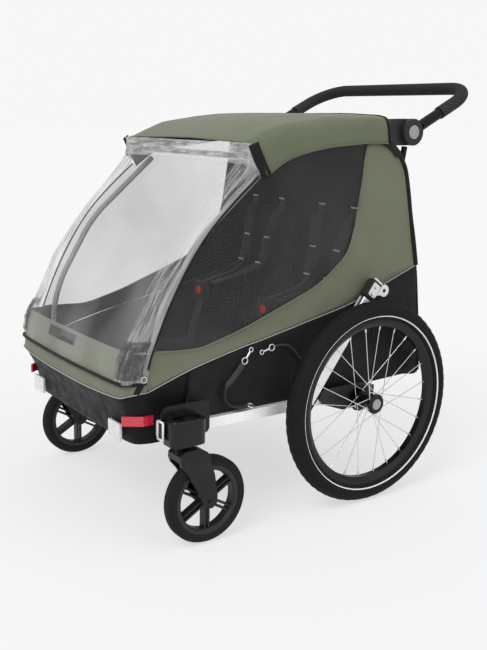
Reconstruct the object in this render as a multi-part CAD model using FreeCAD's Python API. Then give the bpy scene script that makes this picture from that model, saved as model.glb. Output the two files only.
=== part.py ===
"""Two-seat child bicycle trailer in stroller mode, one STEP per sub-part.

Millimetres. Front is -Y, the trailer's left side is +X, up is +Z. Everything is drawn with
Y = 0 on the rear axle, and save() moves it so that the origin is the middle of the whole
object's footprint, on the ground.
"""
import FreeCAD, Part
import math
import os

os.makedirs("parts", exist_ok=True)
V = FreeCAD.Vector

# ---- driving dimensions -------------------------------------------------------------------
AXLE_Y = 127.04          # rear axle, behind the middle of the footprint

# 20-inch rear wheels
TRACK_X = 348.0          # wheel plane to the middle
WHEEL_R = 250.0
TYRE_R = 23.5            # tyre section
RIM_SEAT_R = 207.0
AXLE_R = 6.0
FIT = 0.05               # radial running clearance
SPOKES = 24
SPOKE_R = 1.0
FLANGE_X = 22.0          # flange to wheel plane
FLANGE_HOLE_R = 20.5
NIPPLE_R = 178.0         # inner end of the nipples

# 8-inch casters
CASTER_X = 330.0
SWIVEL_Y = -505.0
CASTER_Y = -462.0
CASTER_R = 100.0
CASTER_CORE_R = 80.0

# aluminium rails and tubes
RAIL_X = 288.0
RAIL = 25.0
RAIL_Z = 258.5
RAIL_WALL = 2.0
RAIL_FRONT_Y = -490.0
RAIL_REAR_Y = 30.0

# folding frame, side view points (y, z)
REAR_HINGE = (40.0, 290.0)
HANDLE_PIVOT = (150.0, 893.0)
STRUT_FOOT = (-560.0, 345.0)
STRUT_TIP = (-262.0, 812.0)
STRUT_BENDS = [(-548.0, 480.0), (-440.0, 660.0)]
ROOF_TIP = (-285.0, 836.0)
UPRIGHT_X = 276.0
STRUT_X = 258.0
ROOF_TUBE_X = 238.0
FRAME_TUBE_R = 7.5
TUBE_WALL = 1.6
STRUT_R = 7.0
STRUT_BEND_R = 300.0

# body cloth and boards
SIDE_OUT = 287.0         # outer face of the side cloth
SIDE_IN = 284.2
SKIRT_Z = 273.0
FLOOR_Z = 264.0
FOOTWELL_Z = 237.0
CLOTH = 2.6
TUB_REAR_Y = -478.0
UPPER_WALL_HALF = 266.0  # between the rear uprights

# side view outline points (y, z) that several pieces share
PIPING = [(-578.0, 350.0), (-450.0, 392.0), (-281.0, 429.0), (-12.0, 488.0), (193.0, 563.0)]
REAR_TRIM = [(180.0, 628.0), (165.0, 690.0), (153.0, 753.0), (139.0, 802.0), (112.0, 843.0)]
BAG_REAR = [(226.0, 284.0), (220.0, 364.0), (210.0, 445.0), (199.0, 532.0), (193.0, 562.0)]
WINDOW_SILL = [(-566.0, 434.0), (-450.0, 431.0), (-390.0, 445.0), (-271.0, 484.0),
               (-127.0, 540.0), (-74.0, 577.0), (-38.0, 612.0), (-19.0, 664.0), (-9.0, 716.0),
               (2.0, 786.0), (12.0, 853.0)]
FILM_EDGE = [(-560.0, 446.0), (-535.0, 511.0), (-501.0, 576.0), (-462.0, 637.0),
             (-419.0, 690.0), (-361.0, 745.0), (-304.0, 793.0)]

# handlebar
HUB_R = 32.0
HANDLE_TUBE_R = 13.0
GRIP_R = 15.6
HANDLE_X = 289.0
HANDLE_BEND_R = 86.0

# stowed tow arm, side view, from its foot to its top
ARM_FOOT = (-165.0, 268.0)
ARM_TOP = (6.0, 498.0)
ARM_X = (301.5, 321.5)
ARM_HALF = 14.0

SIDES = (("left", 1), ("right", -1))


# ---- small geometry helpers ---------------------------------------------------------------
def block(x, y, z):
    """Box from three (low, high) pairs."""
    return Part.makeBox(x[1] - x[0], y[1] - y[0], z[1] - z[0], V(x[0], y[0], z[0]))


def rod(start, end, radius, bore=0.0):
    """Round bar between two points, hollow if it has a bore."""
    axis = V(*end) - V(*start)
    bar = Part.makeCylinder(radius, axis.Length, V(*start), axis)
    if bore:
        bar = bar.cut(Part.makeCylinder(bore, axis.Length, V(*start), axis))
    return bar


def side_plate(outline, x0, x1):
    """Plate with a side-view outline of (y, z) points, from x0 to x1."""
    points = [V(x0, y, z) for y, z in outline]
    return Part.Face(Part.makePolygon(points + points[:1])).extrude(V(x1 - x0, 0, 0))


def turned(profile, centre):
    """Solid of revolution about an X axis through centre, from (radius, x offset) points."""
    cx, cy, cz = centre
    points = [V(cx + x, cy, cz + r) for r, x in profile]
    face = Part.Face(Part.makePolygon(points + points[:1]))
    return face.revolve(V(*centre), V(1, 0, 0), 360)


def mirrored(shape, sign):
    """The shape itself on the left, its mirror image on the right."""
    return shape if sign > 0 else shape.mirror(V(0, 0, 0), V(1, 0, 0))


def rounded(shape, radius, keep):
    """Fillet the edges for which keep(edge) is true."""
    edges = [edge for edge in shape.Edges if keep(edge)]
    return shape.makeFillet(radius, edges) if edges else shape


def along(axis_name):
    """Edge filter: straight edges that run along one axis."""
    def keep(edge):
        if not isinstance(edge.Curve, (Part.Line, Part.LineSegment)):
            return False
        return abs(getattr(edge.tangentAt(edge.FirstParameter), axis_name)) > 0.999
    return keep


def path_wire(points, bends):
    """Straight runs joined by tangent arcs, one bend radius for each inner point."""
    points = [V(*p) for p in points]
    edges = []
    start = points[0]
    for here, before, after, radius in zip(points[1:], points, points[2:], bends):
        back = (before - here).normalize()
        ahead = (after - here).normalize()
        half = back.getAngle(ahead) / 2
        reach = radius / math.tan(half)
        middle = (back + ahead).normalize()
        first = here + back * reach
        last = here + ahead * reach
        top = here + middle * (radius / math.sin(half) - radius)
        edges.append(Part.LineSegment(start, first).toShape())
        edges.append(Part.Arc(first, top, last).toShape())
        start = last
    edges.append(Part.LineSegment(start, points[-1]).toShape())
    return Part.Wire(edges)


def tube_along(points, bends, radius):
    """Round bar swept along a path_wire."""
    wire = path_wire(points, bends)
    heading = V(*points[1]) - V(*points[0])
    circle = Part.Wire(Part.makeCircle(radius, V(*points[0]), heading))
    return wire.makePipeShell([circle], True, False)


def cord_tube(name, points, diameter):
    """Cord whose arcs are as large as 0.45 of the shorter run allows."""
    vectors = [V(*p) for p in points]
    bends = []
    for before, here, after in zip(vectors, vectors[1:], vectors[2:]):
        back = before - here
        ahead = after - here
        turn = math.pi - back.getAngle(ahead)
        bends.append(0.45 * min(back.Length, ahead.Length) / math.tan(turn / 2))
    solid = tube_along(points, bends, diameter / 2)
    length = path_wire(points, bends).Length
    section = math.pi * diameter ** 2 / 4
    print(name, "length %.0f" % length, "volume ratio %.4f" % (solid.Volume / (section * length)))
    print(name, "radii", ["%.0f" % bend for bend in bends])
    return solid


def save(node, *solids):
    """Move the node to the row frame and write its STEP."""
    shape = solids[0] if len(solids) == 1 else Part.makeCompound(list(solids))
    shape = shape.copy()
    shape.translate(V(0, AXLE_Y, 0))
    shape.exportStep("parts/%s.step" % node)


def both(build):
    """A left solid and its mirror image."""
    shape = build()
    return shape, mirrored(shape, -1)


# ---- chassis --------------------------------------------------------------------------------
def square_tube(x, y, z, wall):
    """Square tube along Y with small outer corner radii."""
    outer = rounded(block(x, y, z), 2.5, along("y"))
    inner = block((x[0] + wall, x[1] - wall), (y[0] - 1, y[1] + 1), (z[0] + wall, z[1] - wall))
    return outer.cut(inner)


def side_rail():
    half = RAIL / 2
    return square_tube((RAIL_X - half, RAIL_X + half), (RAIL_FRONT_Y, RAIL_REAR_Y),
                       (RAIL_Z - half, RAIL_Z + half), RAIL_WALL)


def tow_socket():
    """Open receiver for the tow arm at the front of each rail."""
    return square_tube((270.5, 305.5), (-551.0, RAIL_FRONT_Y), (244.5, 279.5), 4.0)


def axle_bracket():
    """Plastic block on the rail's outer face that carries the stub axle and the brake pin."""
    outline = [(-122, 264), (-112, 250), (-52, 228), (24, 226), (50, 240), (50, 276), (20, 288),
               (-112, 288), (-122, 280)]
    plate = side_plate(outline, 300.6, 309.5)
    boss = rod((309.0, 0, WHEEL_R), (311.0, 0, WHEEL_R), 18.0)
    body = plate.fuse(boss).removeSplitter()
    body = body.cut(rod((300, 0, WHEEL_R), (312, 0, WHEEL_R), AXLE_R))
    return body.cut(rod((300, 0, BRAKE_PIN_Z), (312, 0, BRAKE_PIN_Z), BRAKE_PIN_R + FIT))


def arm_cradle():
    """Ledge on the rail that the stowed tow arm's foot stands on."""
    ledge = arm_block((-14.0, -0.4), (-16.0, 16.0), (300.6, 322.5))
    inner = arm_block((-0.4, 26.0), (-16.0, -ARM_HALF - 0.5), (300.6, 322.5))
    outer = arm_block((-0.4, 26.0), (ARM_HALF + 0.5, 16.0), (300.6, 322.5))
    return ledge.fuse(inner).fuse(outer).removeSplitter()


def rear_hinge_bracket():
    """Block inside the rail with the pin that the rear upright turns on."""
    y, z = REAR_HINGE
    foot = block((262.0, 275.4), (y - 22, y - 10), (248.0, 271.0))
    cheek = side_plate([(y - 22, 248), (y + 14, 248), (y + 14, z), (y + 8, z + 10),
                        (y - 8, z + 10), (y - 22, 272)], 260.0, 268.0)
    pin = rod((262.0, y, z), (283.0, y, z), AXLE_R)
    return cheek.fuse(foot).fuse(pin).removeSplitter()


def strut_bracket():
    """Plate inside the front corner with the pin that the front strut turns on."""
    y, z = STRUT_FOOT
    plate = side_plate([(-458, 247), (-458, 268), (y + 22, z), (y + 8, z + 12), (y - 8, z + 12),
                        (y - 16, z), (-540, 262), (-500, 247)], 243.0, 248.4)
    spacer = block((243.0, 275.4), (-472.0, -458.0), (247.0, 268.0))
    pin = rod((244.0, y, z), (265.5, y, z), 5.0)
    return plate.fuse(spacer).fuse(pin).removeSplitter()


def stub_axle():
    return rod((300.7, 0, WHEEL_R), (365.5, 0, WHEEL_R), AXLE_R)


def caster_mount():
    """Back plate on the rail and the rounded head that holds the caster's stem and button."""
    plate = rounded(block((306.3, 312.3), (-560.0, -440.0), (244.0, 320.0)), 14.0, along("x"))
    spacer = block((300.7, 307.0), (-486.0, -446.0), (247.0, 270.0))
    head = block((312.0, 356.0), (-556.0, -470.0), (238.0, MOUNT_TOP))
    head = rounded(head, 20.0, lambda e: along("z")(e) and e.CenterOfMass.x > 350)
    head = rounded(head, 6.0, lambda e: abs(e.CenterOfMass.z - MOUNT_TOP) < 0.1
                   and e.CenterOfMass.x > 312.5)
    body = plate.fuse(spacer).fuse(head).removeSplitter()
    x = CASTER_X + 3
    pocket = rod((x, SWIVEL_Y, 277.0), (x, SWIVEL_Y, 330.0), BUTTON_R + 0.8)
    stem_hole = rod((CASTER_X, SWIVEL_Y, 230.0), (CASTER_X, SWIVEL_Y, 273.0), STEM_R + FIT)
    body = body.cut(pocket).cut(stem_hole)
    for y in (SWIVEL_Y - 24, SWIVEL_Y + 10):
        body = body.cut(rod((x, y, MOUNT_TOP - 7), (x, y, 330.0), BUTTON_R + 2.0))
    return body.cut(block((x - BUTTON_R - 2, x + BUTTON_R + 2), (SWIVEL_Y - 24, SWIVEL_Y + 10),
                          (MOUNT_TOP - 7, 330.0)))


def chassis():
    save("side_rails", *both(side_rail), *both(tow_socket))
    cross = rod((-275.4, -310, RAIL_Z - 6), (275.4, -310, RAIL_Z - 6), 9.0, 7.0)
    axle = rod((-275.4, 0, 246.0), (275.4, 0, 246.0), AXLE_TUBE_R, AXLE_TUBE_R - 2)
    save("cross_tubes", cross, axle, *both(stub_axle))
    save("rail_brackets", *both(axle_bracket), arm_cradle())
    save("frame_hinges", *both(rear_hinge_bracket), *both(strut_bracket))
    save("caster_mounts", *both(caster_mount))


# ---- tub, cloth and cushions ------------------------------------------------------------------
def lofted_wall(levels):
    """Thin U-shaped wall lofted through levels of (z at the back, slope, outer plan outline)."""
    wires = []
    for z, slope, outline in levels:
        inner = [(x - CLOTH * (1 if x > 0 else -1), y + CLOTH) for x, y in outline]
        ring = outline + inner[::-1]
        points = [V(x, y, z + slope * (y - TUB_REAR_Y)) for x, y in ring]
        wires.append(Part.makePolygon(points + points[:1]))
    return Part.makeLoft(wires, True, True)


def tub_front():
    """Black skirt round the footwell: front face and both front corners."""
    def plan(rear_x, corner_x, corner_y, front_y):
        left = [(rear_x, TUB_REAR_Y), (corner_x + 6, corner_y), (corner_x - 20, front_y)]
        return left + [(-x, y) for x, y in left[::-1]]
    return lofted_wall([
        (233.0, 0.0, plan(267.0, 258.0, -570.0, -604.0)),
        (284.0, 0.0, plan(269.5, 262.0, -580.0, -618.0)),
        (381.0, 0.39, plan(283.6, 274.0, -598.0, -638.0)),
    ])


def front_panel():
    """Coloured cloth band above the front skirt."""
    lower = [(-266, -640, 320.0), (266, -640, 320.0), (279, -616, 428), (-279, -616, 428)]
    points = [V(*p) for p in lower]
    return Part.Face(Part.makePolygon(points + points[:1])).extrude(V(0, CLOTH, 0))


def front_cover():
    """Clear cover from the front band up to the roof's front edge."""
    outer = [(-611.0, 431.0), (-583.0, 497.0), (-547.0, 568.0), (-505.0, 622.0), (-457.0, 675.0),
             (-378.0, 768.0), (-310.0, 850.0)]
    inner = [(y + 1.6, z - 1.0) for y, z in outer]
    return side_plate(outer + inner[::-1], -274.0, 274.0)


def side_skirt():
    """Black lower side cloth, from the footwell back round the cargo bag."""
    foot = [(-477.0, SKIRT_Z), (42.0, SKIRT_Z), (48.0, 280.0), (226.6, 280.0)]
    top = [(y, z - 0.4) for y, z in PIPING[::-1][:4]] + [(-477.0, 382.5)]
    return side_plate(foot + BAG_REAR[:-1] + top, SIDE_IN, SIDE_OUT)


def side_panel():
    """Coloured side cloth between the piping, the window and the rear edge."""
    outline = PIPING + REAR_TRIM + [(85.0, 853.0)] + WINDOW_SILL[::-1] + [(-577.0, 400.0)]
    return side_plate(outline, SIDE_IN, SIDE_OUT)


def side_window():
    """Tinted side window, inset a little from the coloured cloth."""
    top = [(-101.0, 854.0), (-188.0, 843.0), (-280.0, 808.0)]
    sill = [(y - 0.4, z + 0.6) for y, z in WINDOW_SILL]
    return side_plate(sill + top + FILM_EDGE[::-1], SIDE_IN + 0.8, SIDE_IN + 2.0)


def roof_section(y, top, bottom, half):
    """Closed outline of the roof sheet at one place: a soft-cornered inverted U."""
    corner = [(0.0, -38.0), (6.0, -17.0), (20.0, -4.0), (44.0, 0.0)]

    def side(sign, inset):
        points = [(sign * (half - inset), bottom)]
        points += [(sign * (half - inset - dx), top + dz - inset) for dx, dz in corner]
        return points
    ring = side(1, 0) + side(-1, 0)[::-1] + side(-1, CLOTH) + side(1, CLOTH)[::-1]
    points = [V(x, y, z) for x, z in ring]
    return Part.makePolygon(points + points[:1])


def roof_canopy():
    stations = [(-322.0, 869.0, 829.0), (-304.0, 878.0, 812.0), (-282.0, 887.0, 799.0),
                (-262.0, 894.0, 809.0), (-209.0, 911.0, 837.0), (-124.0, 924.0, 857.0),
                (-58.0, 930.0, 864.0), (74.0, 932.0, 868.0)]
    wires = [roof_section(y, top, bottom, 291.0) for y, top, bottom in stations]
    return Part.makeLoft(wires, True, True)


def rear_wall(outline, half):
    """Back of the cargo bag, following side-view points."""
    inner = [(y - CLOTH, z) for y, z in outline]
    return side_plate(outline + inner[::-1], -half, half)


def rear_yoke():
    """Cloth between the two roof tubes, from the back wall up under the roof's rear edge."""
    outline = [REAR_TRIM[-1], (97.0, 872.0), (80.0, 902.0), (66.0, 922.0)]
    inner = [(y - CLOTH, z - 1.5) for y, z in outline]
    return side_plate(outline + inner[::-1], -227.0, 227.0)


def floor():
    """Footwell board, riser, seat board and the raised cargo board behind them."""
    profile = [(-590, FOOTWELL_Z), (-330, FOOTWELL_Z), (-330, FLOOR_Z), (24, FLOOR_Z),
               (24, FLOOR_Z + 3), (-333, FLOOR_Z + 3), (-333, FOOTWELL_Z + 3),
               (-590, FOOTWELL_Z + 3)]
    front = side_plate(profile, -242.0, 242.0)
    cargo = block((-283.6, 283.6), (62.0, 210.0), (280.0, 283.0))
    return front, cargo


def seat_cushion():
    cushion = block((4.0, 256.0), (-300.0, -12.0), (FLOOR_Z + 4, 318.0))
    return rounded(cushion, 14.0, along("z"))


def seat_back():
    outline = [(-4, 322), (38, 322), (90, 706), (68, 712)]
    return side_plate(outline, 6.0, 256.0)


def harness_side(seat_x):
    """Shoulder straps of one seat, down the seat back and forward to the buckle."""
    straps = []
    for dx in (-62.0, 62.0):
        top = seat_x + dx
        low = seat_x + dx * 0.75
        down = [V(top - 14, 58, 700), V(top + 14, 58, 700), V(low + 14, 14, 540),
                V(low - 14, 14, 540)]
        ahead = [V(low - 14, 13, 538), V(low + 14, 13, 538), V(seat_x + dx * 0.3 + 12, -150, 492),
                 V(seat_x + dx * 0.3 - 12, -150, 492)]
        for corners in (down, ahead):
            face = Part.Face(Part.makePolygon(corners + corners[:1]))
            straps.append(face.extrude(V(0, -2.4, 1.2)))
    return straps


BUCKLE_Y = (-181.0, -163.0)
BUCKLE_Z = (438.0, 488.0)
SEAT_X = 148.0


def harness_buckle(seat_x):
    """Buckle on its crotch strap, with a round pocket for the release button."""
    body = rounded(block((seat_x - 24, seat_x + 24), BUCKLE_Y, BUCKLE_Z), 5.0, along("y"))
    pocket = rod((seat_x, BUCKLE_Y[0] - 1, 463.0), (seat_x, BUCKLE_Y[0] + 9, 463.0), 11.6)
    return body.cut(pocket)


def crotch_strap(seat_x):
    """Strap from the cushion up to the buckle."""
    return side_plate([(-206, 319), (-202, 319), (-170, 437.5), (-174, 437.5)],
                      seat_x - 13, seat_x + 13)


def buckle_button(seat_x):
    button = rod((seat_x, BUCKLE_Y[0] - 2, 463.0), (seat_x, BUCKLE_Y[0] + 4, 463.0), 11.0)
    return rounded(button, 1.5, lambda e: abs(e.CenterOfMass.y - BUCKLE_Y[0] + 2) < 0.1)


def body_cloth():
    save("floor_boards", *floor())
    save("tub_front", tub_front())
    save("front_panel", front_panel())
    save("front_cover", front_cover())
    save("side_skirts", *both(side_skirt))
    save("side_panels", *both(side_panel))
    save("side_windows", *both(side_window))
    save("roof_canopy", roof_canopy())
    save("rear_wall_lower", rear_wall(BAG_REAR, SIDE_IN - 0.4))
    save("rear_wall_upper", rear_wall([(192.6, 565.0)] + REAR_TRIM, UPPER_WALL_HALF), rear_yoke())
    save("seat_cushions", *both(seat_cushion))
    save("seat_backs", *both(seat_back))
    save("harness_straps", *harness_side(SEAT_X), *harness_side(-SEAT_X),
         crotch_strap(SEAT_X), crotch_strap(-SEAT_X))
    save("harness_buckles", harness_buckle(SEAT_X), harness_buckle(-SEAT_X))
    for side, sign in SIDES:
        save("buckle_button_" + side, buckle_button(sign * SEAT_X))


def corner_lens():
    """Red lens that wraps the chamfered front corner."""
    plan = [(247.0, -621.0), (272.4, -583.0), (272.4, -560.0), (276.0, -560.0), (276.0, -584.5),
            (250.0, -623.5)]
    points = [V(x, y, 272.0) for x, y in plan]
    return Part.Face(Part.makePolygon(points + points[:1])).extrude(V(0, 0, 22.0))


def reflectors():
    """White front lenses, and red lenses on the front corners and at the back."""
    front = rounded(block((-28, 28), (-620.5, -615.5), (232, 272)), 5.0, along("y"))
    lenses = [front.copy(), front.copy()]
    lenses[0].translate(V(208, 0, 0))
    lenses[1].translate(V(-208, 0, 0))
    save("reflectors_white", *lenses)
    corner = corner_lens()
    rear = rounded(block((200, 246), (223.0, 227.0), (330, 354)), 4.0, along("y"))
    save("reflectors_red", corner, mirrored(corner, -1), rear, mirrored(rear, -1))


# ---- folding frame ------------------------------------------------------------------------------
def toward(start, end, distance):
    """Side-view point at a distance from start towards end."""
    dy, dz = end[0] - start[0], end[1] - start[1]
    share = distance / math.hypot(dy, dz)
    return (start[0] + dy * share, start[1] + dz * share)


def hollow(x, start, end, skip, stop, radius):
    """Bore of a frame tube, from skip past its start to stop short of its end."""
    bore = radius - TUBE_WALL
    return rod((x, *toward(start, end, skip)), (x, *toward(end, start, stop)), bore)


def upright():
    """Rear side tube with the eye that turns on the rear hinge's pin."""
    x = UPRIGHT_X
    low = toward(REAR_HINGE, HANDLE_PIVOT, 8.0)
    high = toward(HANDLE_PIVOT, REAR_HINGE, 35.6)
    eye = rod((269.0, *REAR_HINGE), (283.4, *REAR_HINGE), 14.0)
    bar = rod((x, *low), (x, *high), FRAME_TUBE_R - 0.3)
    body = eye.fuse(bar).cut(rod((268.0, *REAR_HINGE), (284.0, *REAR_HINGE), AXLE_R + FIT))
    return body.cut(hollow(x, REAR_HINGE, HANDLE_PIVOT, 24.0, 40.0, FRAME_TUBE_R - 0.3))


def handle_housing():
    """Plastic head of the upright: carries the roof tube's pin and the handlebar hub."""
    y, z = HANDLE_PIVOT
    drum = rod((249.0, y, z), (284.2, y, z), HUB_R - 0.2)
    arm = side_plate([(y, z - HUB_R + 0.2), (y, z + HUB_R - 0.2), (y - 60, z + 30),
                      (y - 72, z + 22), (y - 72, z - 24), (y - 60, z - HUB_R + 0.2)],
                     249.0, 284.2)
    body = drum.fuse(arm).removeSplitter()
    pin = rod((229.0, y, z), (250.0, y, z), AXLE_R)
    return body.fuse(pin).cut(rod((266.0, y, z), (285.0, y, z), 9.0 + FIT))


def roof_tube():
    """Roof side tube: eye on the housing's pin, bent down to the front."""
    x = ROOF_TUBE_X
    eye = rod((229.6, *HANDLE_PIVOT), (246.4, *HANDLE_PIVOT), 13.0)
    bar = rod((x, *toward(HANDLE_PIVOT, ROOF_TIP, 9.0)), (x, *ROOF_TIP), FRAME_TUBE_R)
    body = eye.fuse(bar).cut(rod((229.0, *HANDLE_PIVOT), (247.0, *HANDLE_PIVOT), AXLE_R + FIT))
    return body.cut(hollow(x, HANDLE_PIVOT, ROOF_TIP, 24.0, 12.0, FRAME_TUBE_R))


def front_strut():
    """Front bow of the cabin's frame, with the eye that turns on its bracket's pin."""
    x = STRUT_X
    eye = rod((251.0, *STRUT_FOOT), (265.0, *STRUT_FOOT), 11.0)

    def swept(start, radius):
        route = [toward(STRUT_FOOT, STRUT_BENDS[0], start)] + STRUT_BENDS + [STRUT_TIP]
        return tube_along([(x, y, z) for y, z in route], [STRUT_BEND_R] * 2, radius)
    body = eye.fuse(swept(7.0, STRUT_R))
    body = body.cut(rod((250.0, *STRUT_FOOT), (266.0, *STRUT_FOOT), 5.0 + FIT))
    return body.cut(swept(24.0, STRUT_R - TUBE_WALL))


def folding_frame():
    brace_at = toward(REAR_HINGE, HANDLE_PIVOT, 140.0)
    brace = rod((-268.6, *brace_at), (268.6, *brace_at), FRAME_TUBE_R, FRAME_TUBE_R - TUBE_WALL)
    save("rear_uprights", *both(upright), brace)
    save("handle_housings", *both(handle_housing))
    save("roof_tubes", *both(roof_tube))
    edge_x = ROOF_TUBE_X - FRAME_TUBE_R
    save("front_struts", *both(front_strut))
    save("roof_front_bar", rod((-edge_x, *ROOF_TIP), (edge_x, *ROOF_TIP), FRAME_TUBE_R - 0.5,
                               FRAME_TUBE_R - 0.5 - TUBE_WALL))


# ---- handlebar ------------------------------------------------------------------------------------
HANDLE_LEAN = math.radians(26.6)
HANDLE_REACH = 246.45


def handle_point(distance, lift=0.0):
    """Side-view point along the handlebar's arm."""
    y = HANDLE_PIVOT[0] + distance * math.cos(HANDLE_LEAN) - lift * math.sin(HANDLE_LEAN)
    z = HANDLE_PIVOT[1] + distance * math.sin(HANDLE_LEAN) + lift * math.cos(HANDLE_LEAN)
    return (y, z)


def handle_path(start):
    """Points of the bar from a distance along the left arm round to the right arm."""
    left = [(HANDLE_X, *handle_point(start)), (HANDLE_X, *handle_point(HANDLE_REACH))]
    return left + [(-x, y, z) for x, y, z in left[::-1]]


HANDLE_BENDS = [HANDLE_BEND_R, HANDLE_BEND_R]


def handle_hub():
    """Outer drum of the handlebar's pivot: shaft in the housing, pocket for the button."""
    y, z = HANDLE_PIVOT
    drum = rounded(rod((284.9, y, z), (300.0, y, z), HUB_R), 2.5,
                   lambda e: abs(e.CenterOfMass.x - 300.0) < 0.1)
    shaft = rod((267.0, y, z), (286.0, y, z), 9.0)
    return drum.fuse(shaft).cut(rod((290.5, y, z), (301.0, y, z), 17.0))


def handle_button():
    y, z = HANDLE_PIVOT
    button = rod((295.0, y, z), (301.0, y, z), 16.4)
    return rounded(button, 1.2, lambda e: abs(e.CenterOfMass.x - 301.0) < 0.1)


def handlebar():
    start = handle_path(HUB_R + 0.2)
    bar = tube_along(start, HANDLE_BENDS, HANDLE_TUBE_R)
    save("handle_tube", bar.cut(tube_along(start, HANDLE_BENDS, HANDLE_TUBE_R - TUBE_WALL)))
    points = handle_path(104.0)
    grip = tube_along(points, HANDLE_BENDS, GRIP_R)
    core = tube_along(points, HANDLE_BENDS, HANDLE_TUBE_R + FIT)
    save("handle_grip", grip.cut(core))
    save("handle_hubs", *both(handle_hub))
    for side, sign in SIDES:
        save("handle_button_" + side, mirrored(handle_button(), sign))


# ---- rear wheels -----------------------------------------------------------------------------------
WHEEL_CENTRE = (TRACK_X, 0, WHEEL_R)
COG_R = 32.0
BRAKE_PIN_R = 2.5
BRAKE_PIN_Z = WHEEL_R + 25.0
COG_HOLES = 12
AXLE_TUBE_R = 11.0


def tyre():
    ring = Part.makeTorus(WHEEL_R - TYRE_R, TYRE_R, V(*WHEEL_CENTRE), V(1, 0, 0))
    seat = rod((TRACK_X - 13.9, 0, WHEEL_R), (TRACK_X + 13.9, 0, WHEEL_R), RIM_SEAT_R + 0.3)
    return ring.cut(seat)


def rim():
    half = [(RIM_SEAT_R, 13.6), (RIM_SEAT_R, 11.4), (200.5, 10.0)]
    deep = [(199.0, 13.6), (189.0, 8.0)]
    profile = half + [(r, -x) for r, x in half[::-1]] + [(r, -x) for r, x in deep]
    return turned(profile + deep[::-1], WHEEL_CENTRE)


def wheel_point(radius, degrees, x):
    angle = math.radians(degrees)
    return (TRACK_X + x, radius * math.sin(angle), WHEEL_R + radius * math.cos(angle))


def spoke_ends(index):
    """Hub end, nipple's inner end and rim end of one spoke; they alternate between flanges."""
    flange = 1 if index % 2 else -1
    lean = 1 if index // 2 % 2 else -1
    rim_angle = (index + 0.5) * 360.0 / SPOKES
    hub_angle = rim_angle - lean * 62.0
    return (wheel_point(FLANGE_HOLE_R, hub_angle, flange * (FLANGE_X + 1.7 * lean)),
            wheel_point(NIPPLE_R, rim_angle, flange * 1.6),
            wheel_point(188.9, rim_angle, 0.6 * flange))


def spokes():
    """Crossed spokes with their nipples."""
    bars = []
    for index in range(SPOKES):
        seat, nipple, top = spoke_ends(index)
        bars.append(rod(seat, nipple, SPOKE_R))
        bars.append(rod(nipple, top, 2.3))
    return bars


def hub():
    """Hub shell with two spoke flanges, slots for the spokes' heads and a button pocket."""
    profile = [(AXLE_R + FIT, -32), (14, -32), (14, -24.5), (24.5, -24.5), (24.5, -19.5),
               (13, -17), (13, 17), (24.5, 19.5), (24.5, 24.5), (20.5, 28.0), (14.1, 28.0),
               (14.1, 18.5), (AXLE_R + FIT, 18.5)]
    shell = turned(profile, WHEEL_CENTRE)
    for index in range(SPOKES):
        seat, nipple, _ = spoke_ends(index)
        back = V(*seat) + (V(*seat) - V(*nipple)).normalize() * 2.0
        shell = shell.cut(rod(tuple(back), nipple, SPOKE_R + 0.35))
    return shell


def brake_cog():
    cog = rod((312.0, 0, WHEEL_R), (316.0, 0, WHEEL_R), COG_R, AXLE_R + FIT)
    cuts = []
    for index in range(COG_HOLES):
        window = rod((311.0, 0, BRAKE_PIN_Z), (317.0, 0, BRAKE_PIN_Z), 3.6)
        notch = rod((311.0, 0, WHEEL_R + COG_R + 1), (317.0, 0, WHEEL_R + COG_R + 1), 3.2)
        window.rotate(V(*WHEEL_CENTRE), V(1, 0, 0), index * 360.0 / COG_HOLES)
        notch.rotate(V(*WHEEL_CENTRE), V(1, 0, 0), (index + 0.5) * 360.0 / COG_HOLES)
        cuts += [window, notch]
    return cog.cut(Part.makeCompound(cuts))


def wheel_button():
    button = rod((370.0, 0, WHEEL_R), (376.5, 0, WHEEL_R), 13.5)
    return rounded(button, 2.0, lambda e: abs(e.CenterOfMass.x - 376.5) < 0.1)


def rear_wheels():
    for side, sign in SIDES:
        save("tyre_" + side, mirrored(tyre(), sign))
        save("rim_" + side, mirrored(rim(), sign))
        save("spokes_" + side, *[mirrored(bar, sign) for bar in spokes()])
        save("hub_" + side, mirrored(hub(), sign), mirrored(brake_cog(), sign))
        save("wheel_button_" + side, mirrored(wheel_button(), sign))


# ---- casters -----------------------------------------------------------------------------------------
CASTER_CENTRE = (CASTER_X, CASTER_Y, CASTER_R)
CASTER_TYRE_HALF = 17.0
STEM_R = 8.0
BUTTON_R = 14.0
MOUNT_TOP = 296.0
CASTER_SPOKES = 6


def caster_tyre():
    flat = CASTER_TYRE_HALF
    profile = [(CASTER_CORE_R, -flat + 2), (84, -flat), (92, -flat), (97.5, -flat + 5), (100, -7),
               (100, 7), (97.5, flat - 5), (92, flat), (84, flat), (CASTER_CORE_R, flat - 2)]
    return turned(profile, CASTER_CENTRE)


def caster_core():
    """Plastic wheel centre: rim, hub and spokes that are two ribs each."""
    rim_band = turned([(79.9, -14), (79.9, 14), (71, 14), (68, 10), (68, -10), (71, -14)],
                      CASTER_CENTRE)
    barrel = turned([(16, -17.5), (16, 17.5), (5.05, 17.5), (5.05, -17.5)], CASTER_CENTRE)
    body = rim_band.fuse(barrel)
    cx, cy, cz = CASTER_CENTRE
    for index in range(CASTER_SPOKES):
        for offset in (-7.5, 3.0):
            rib = block((cx - 9, cx + 9), (cy + offset, cy + offset + 4.5), (cz + 13, cz + 70))
            rib.rotate(V(*CASTER_CENTRE), V(1, 0, 0), index * 360.0 / CASTER_SPOKES)
            body = body.fuse(rib)
    return body.removeSplitter()


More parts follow.
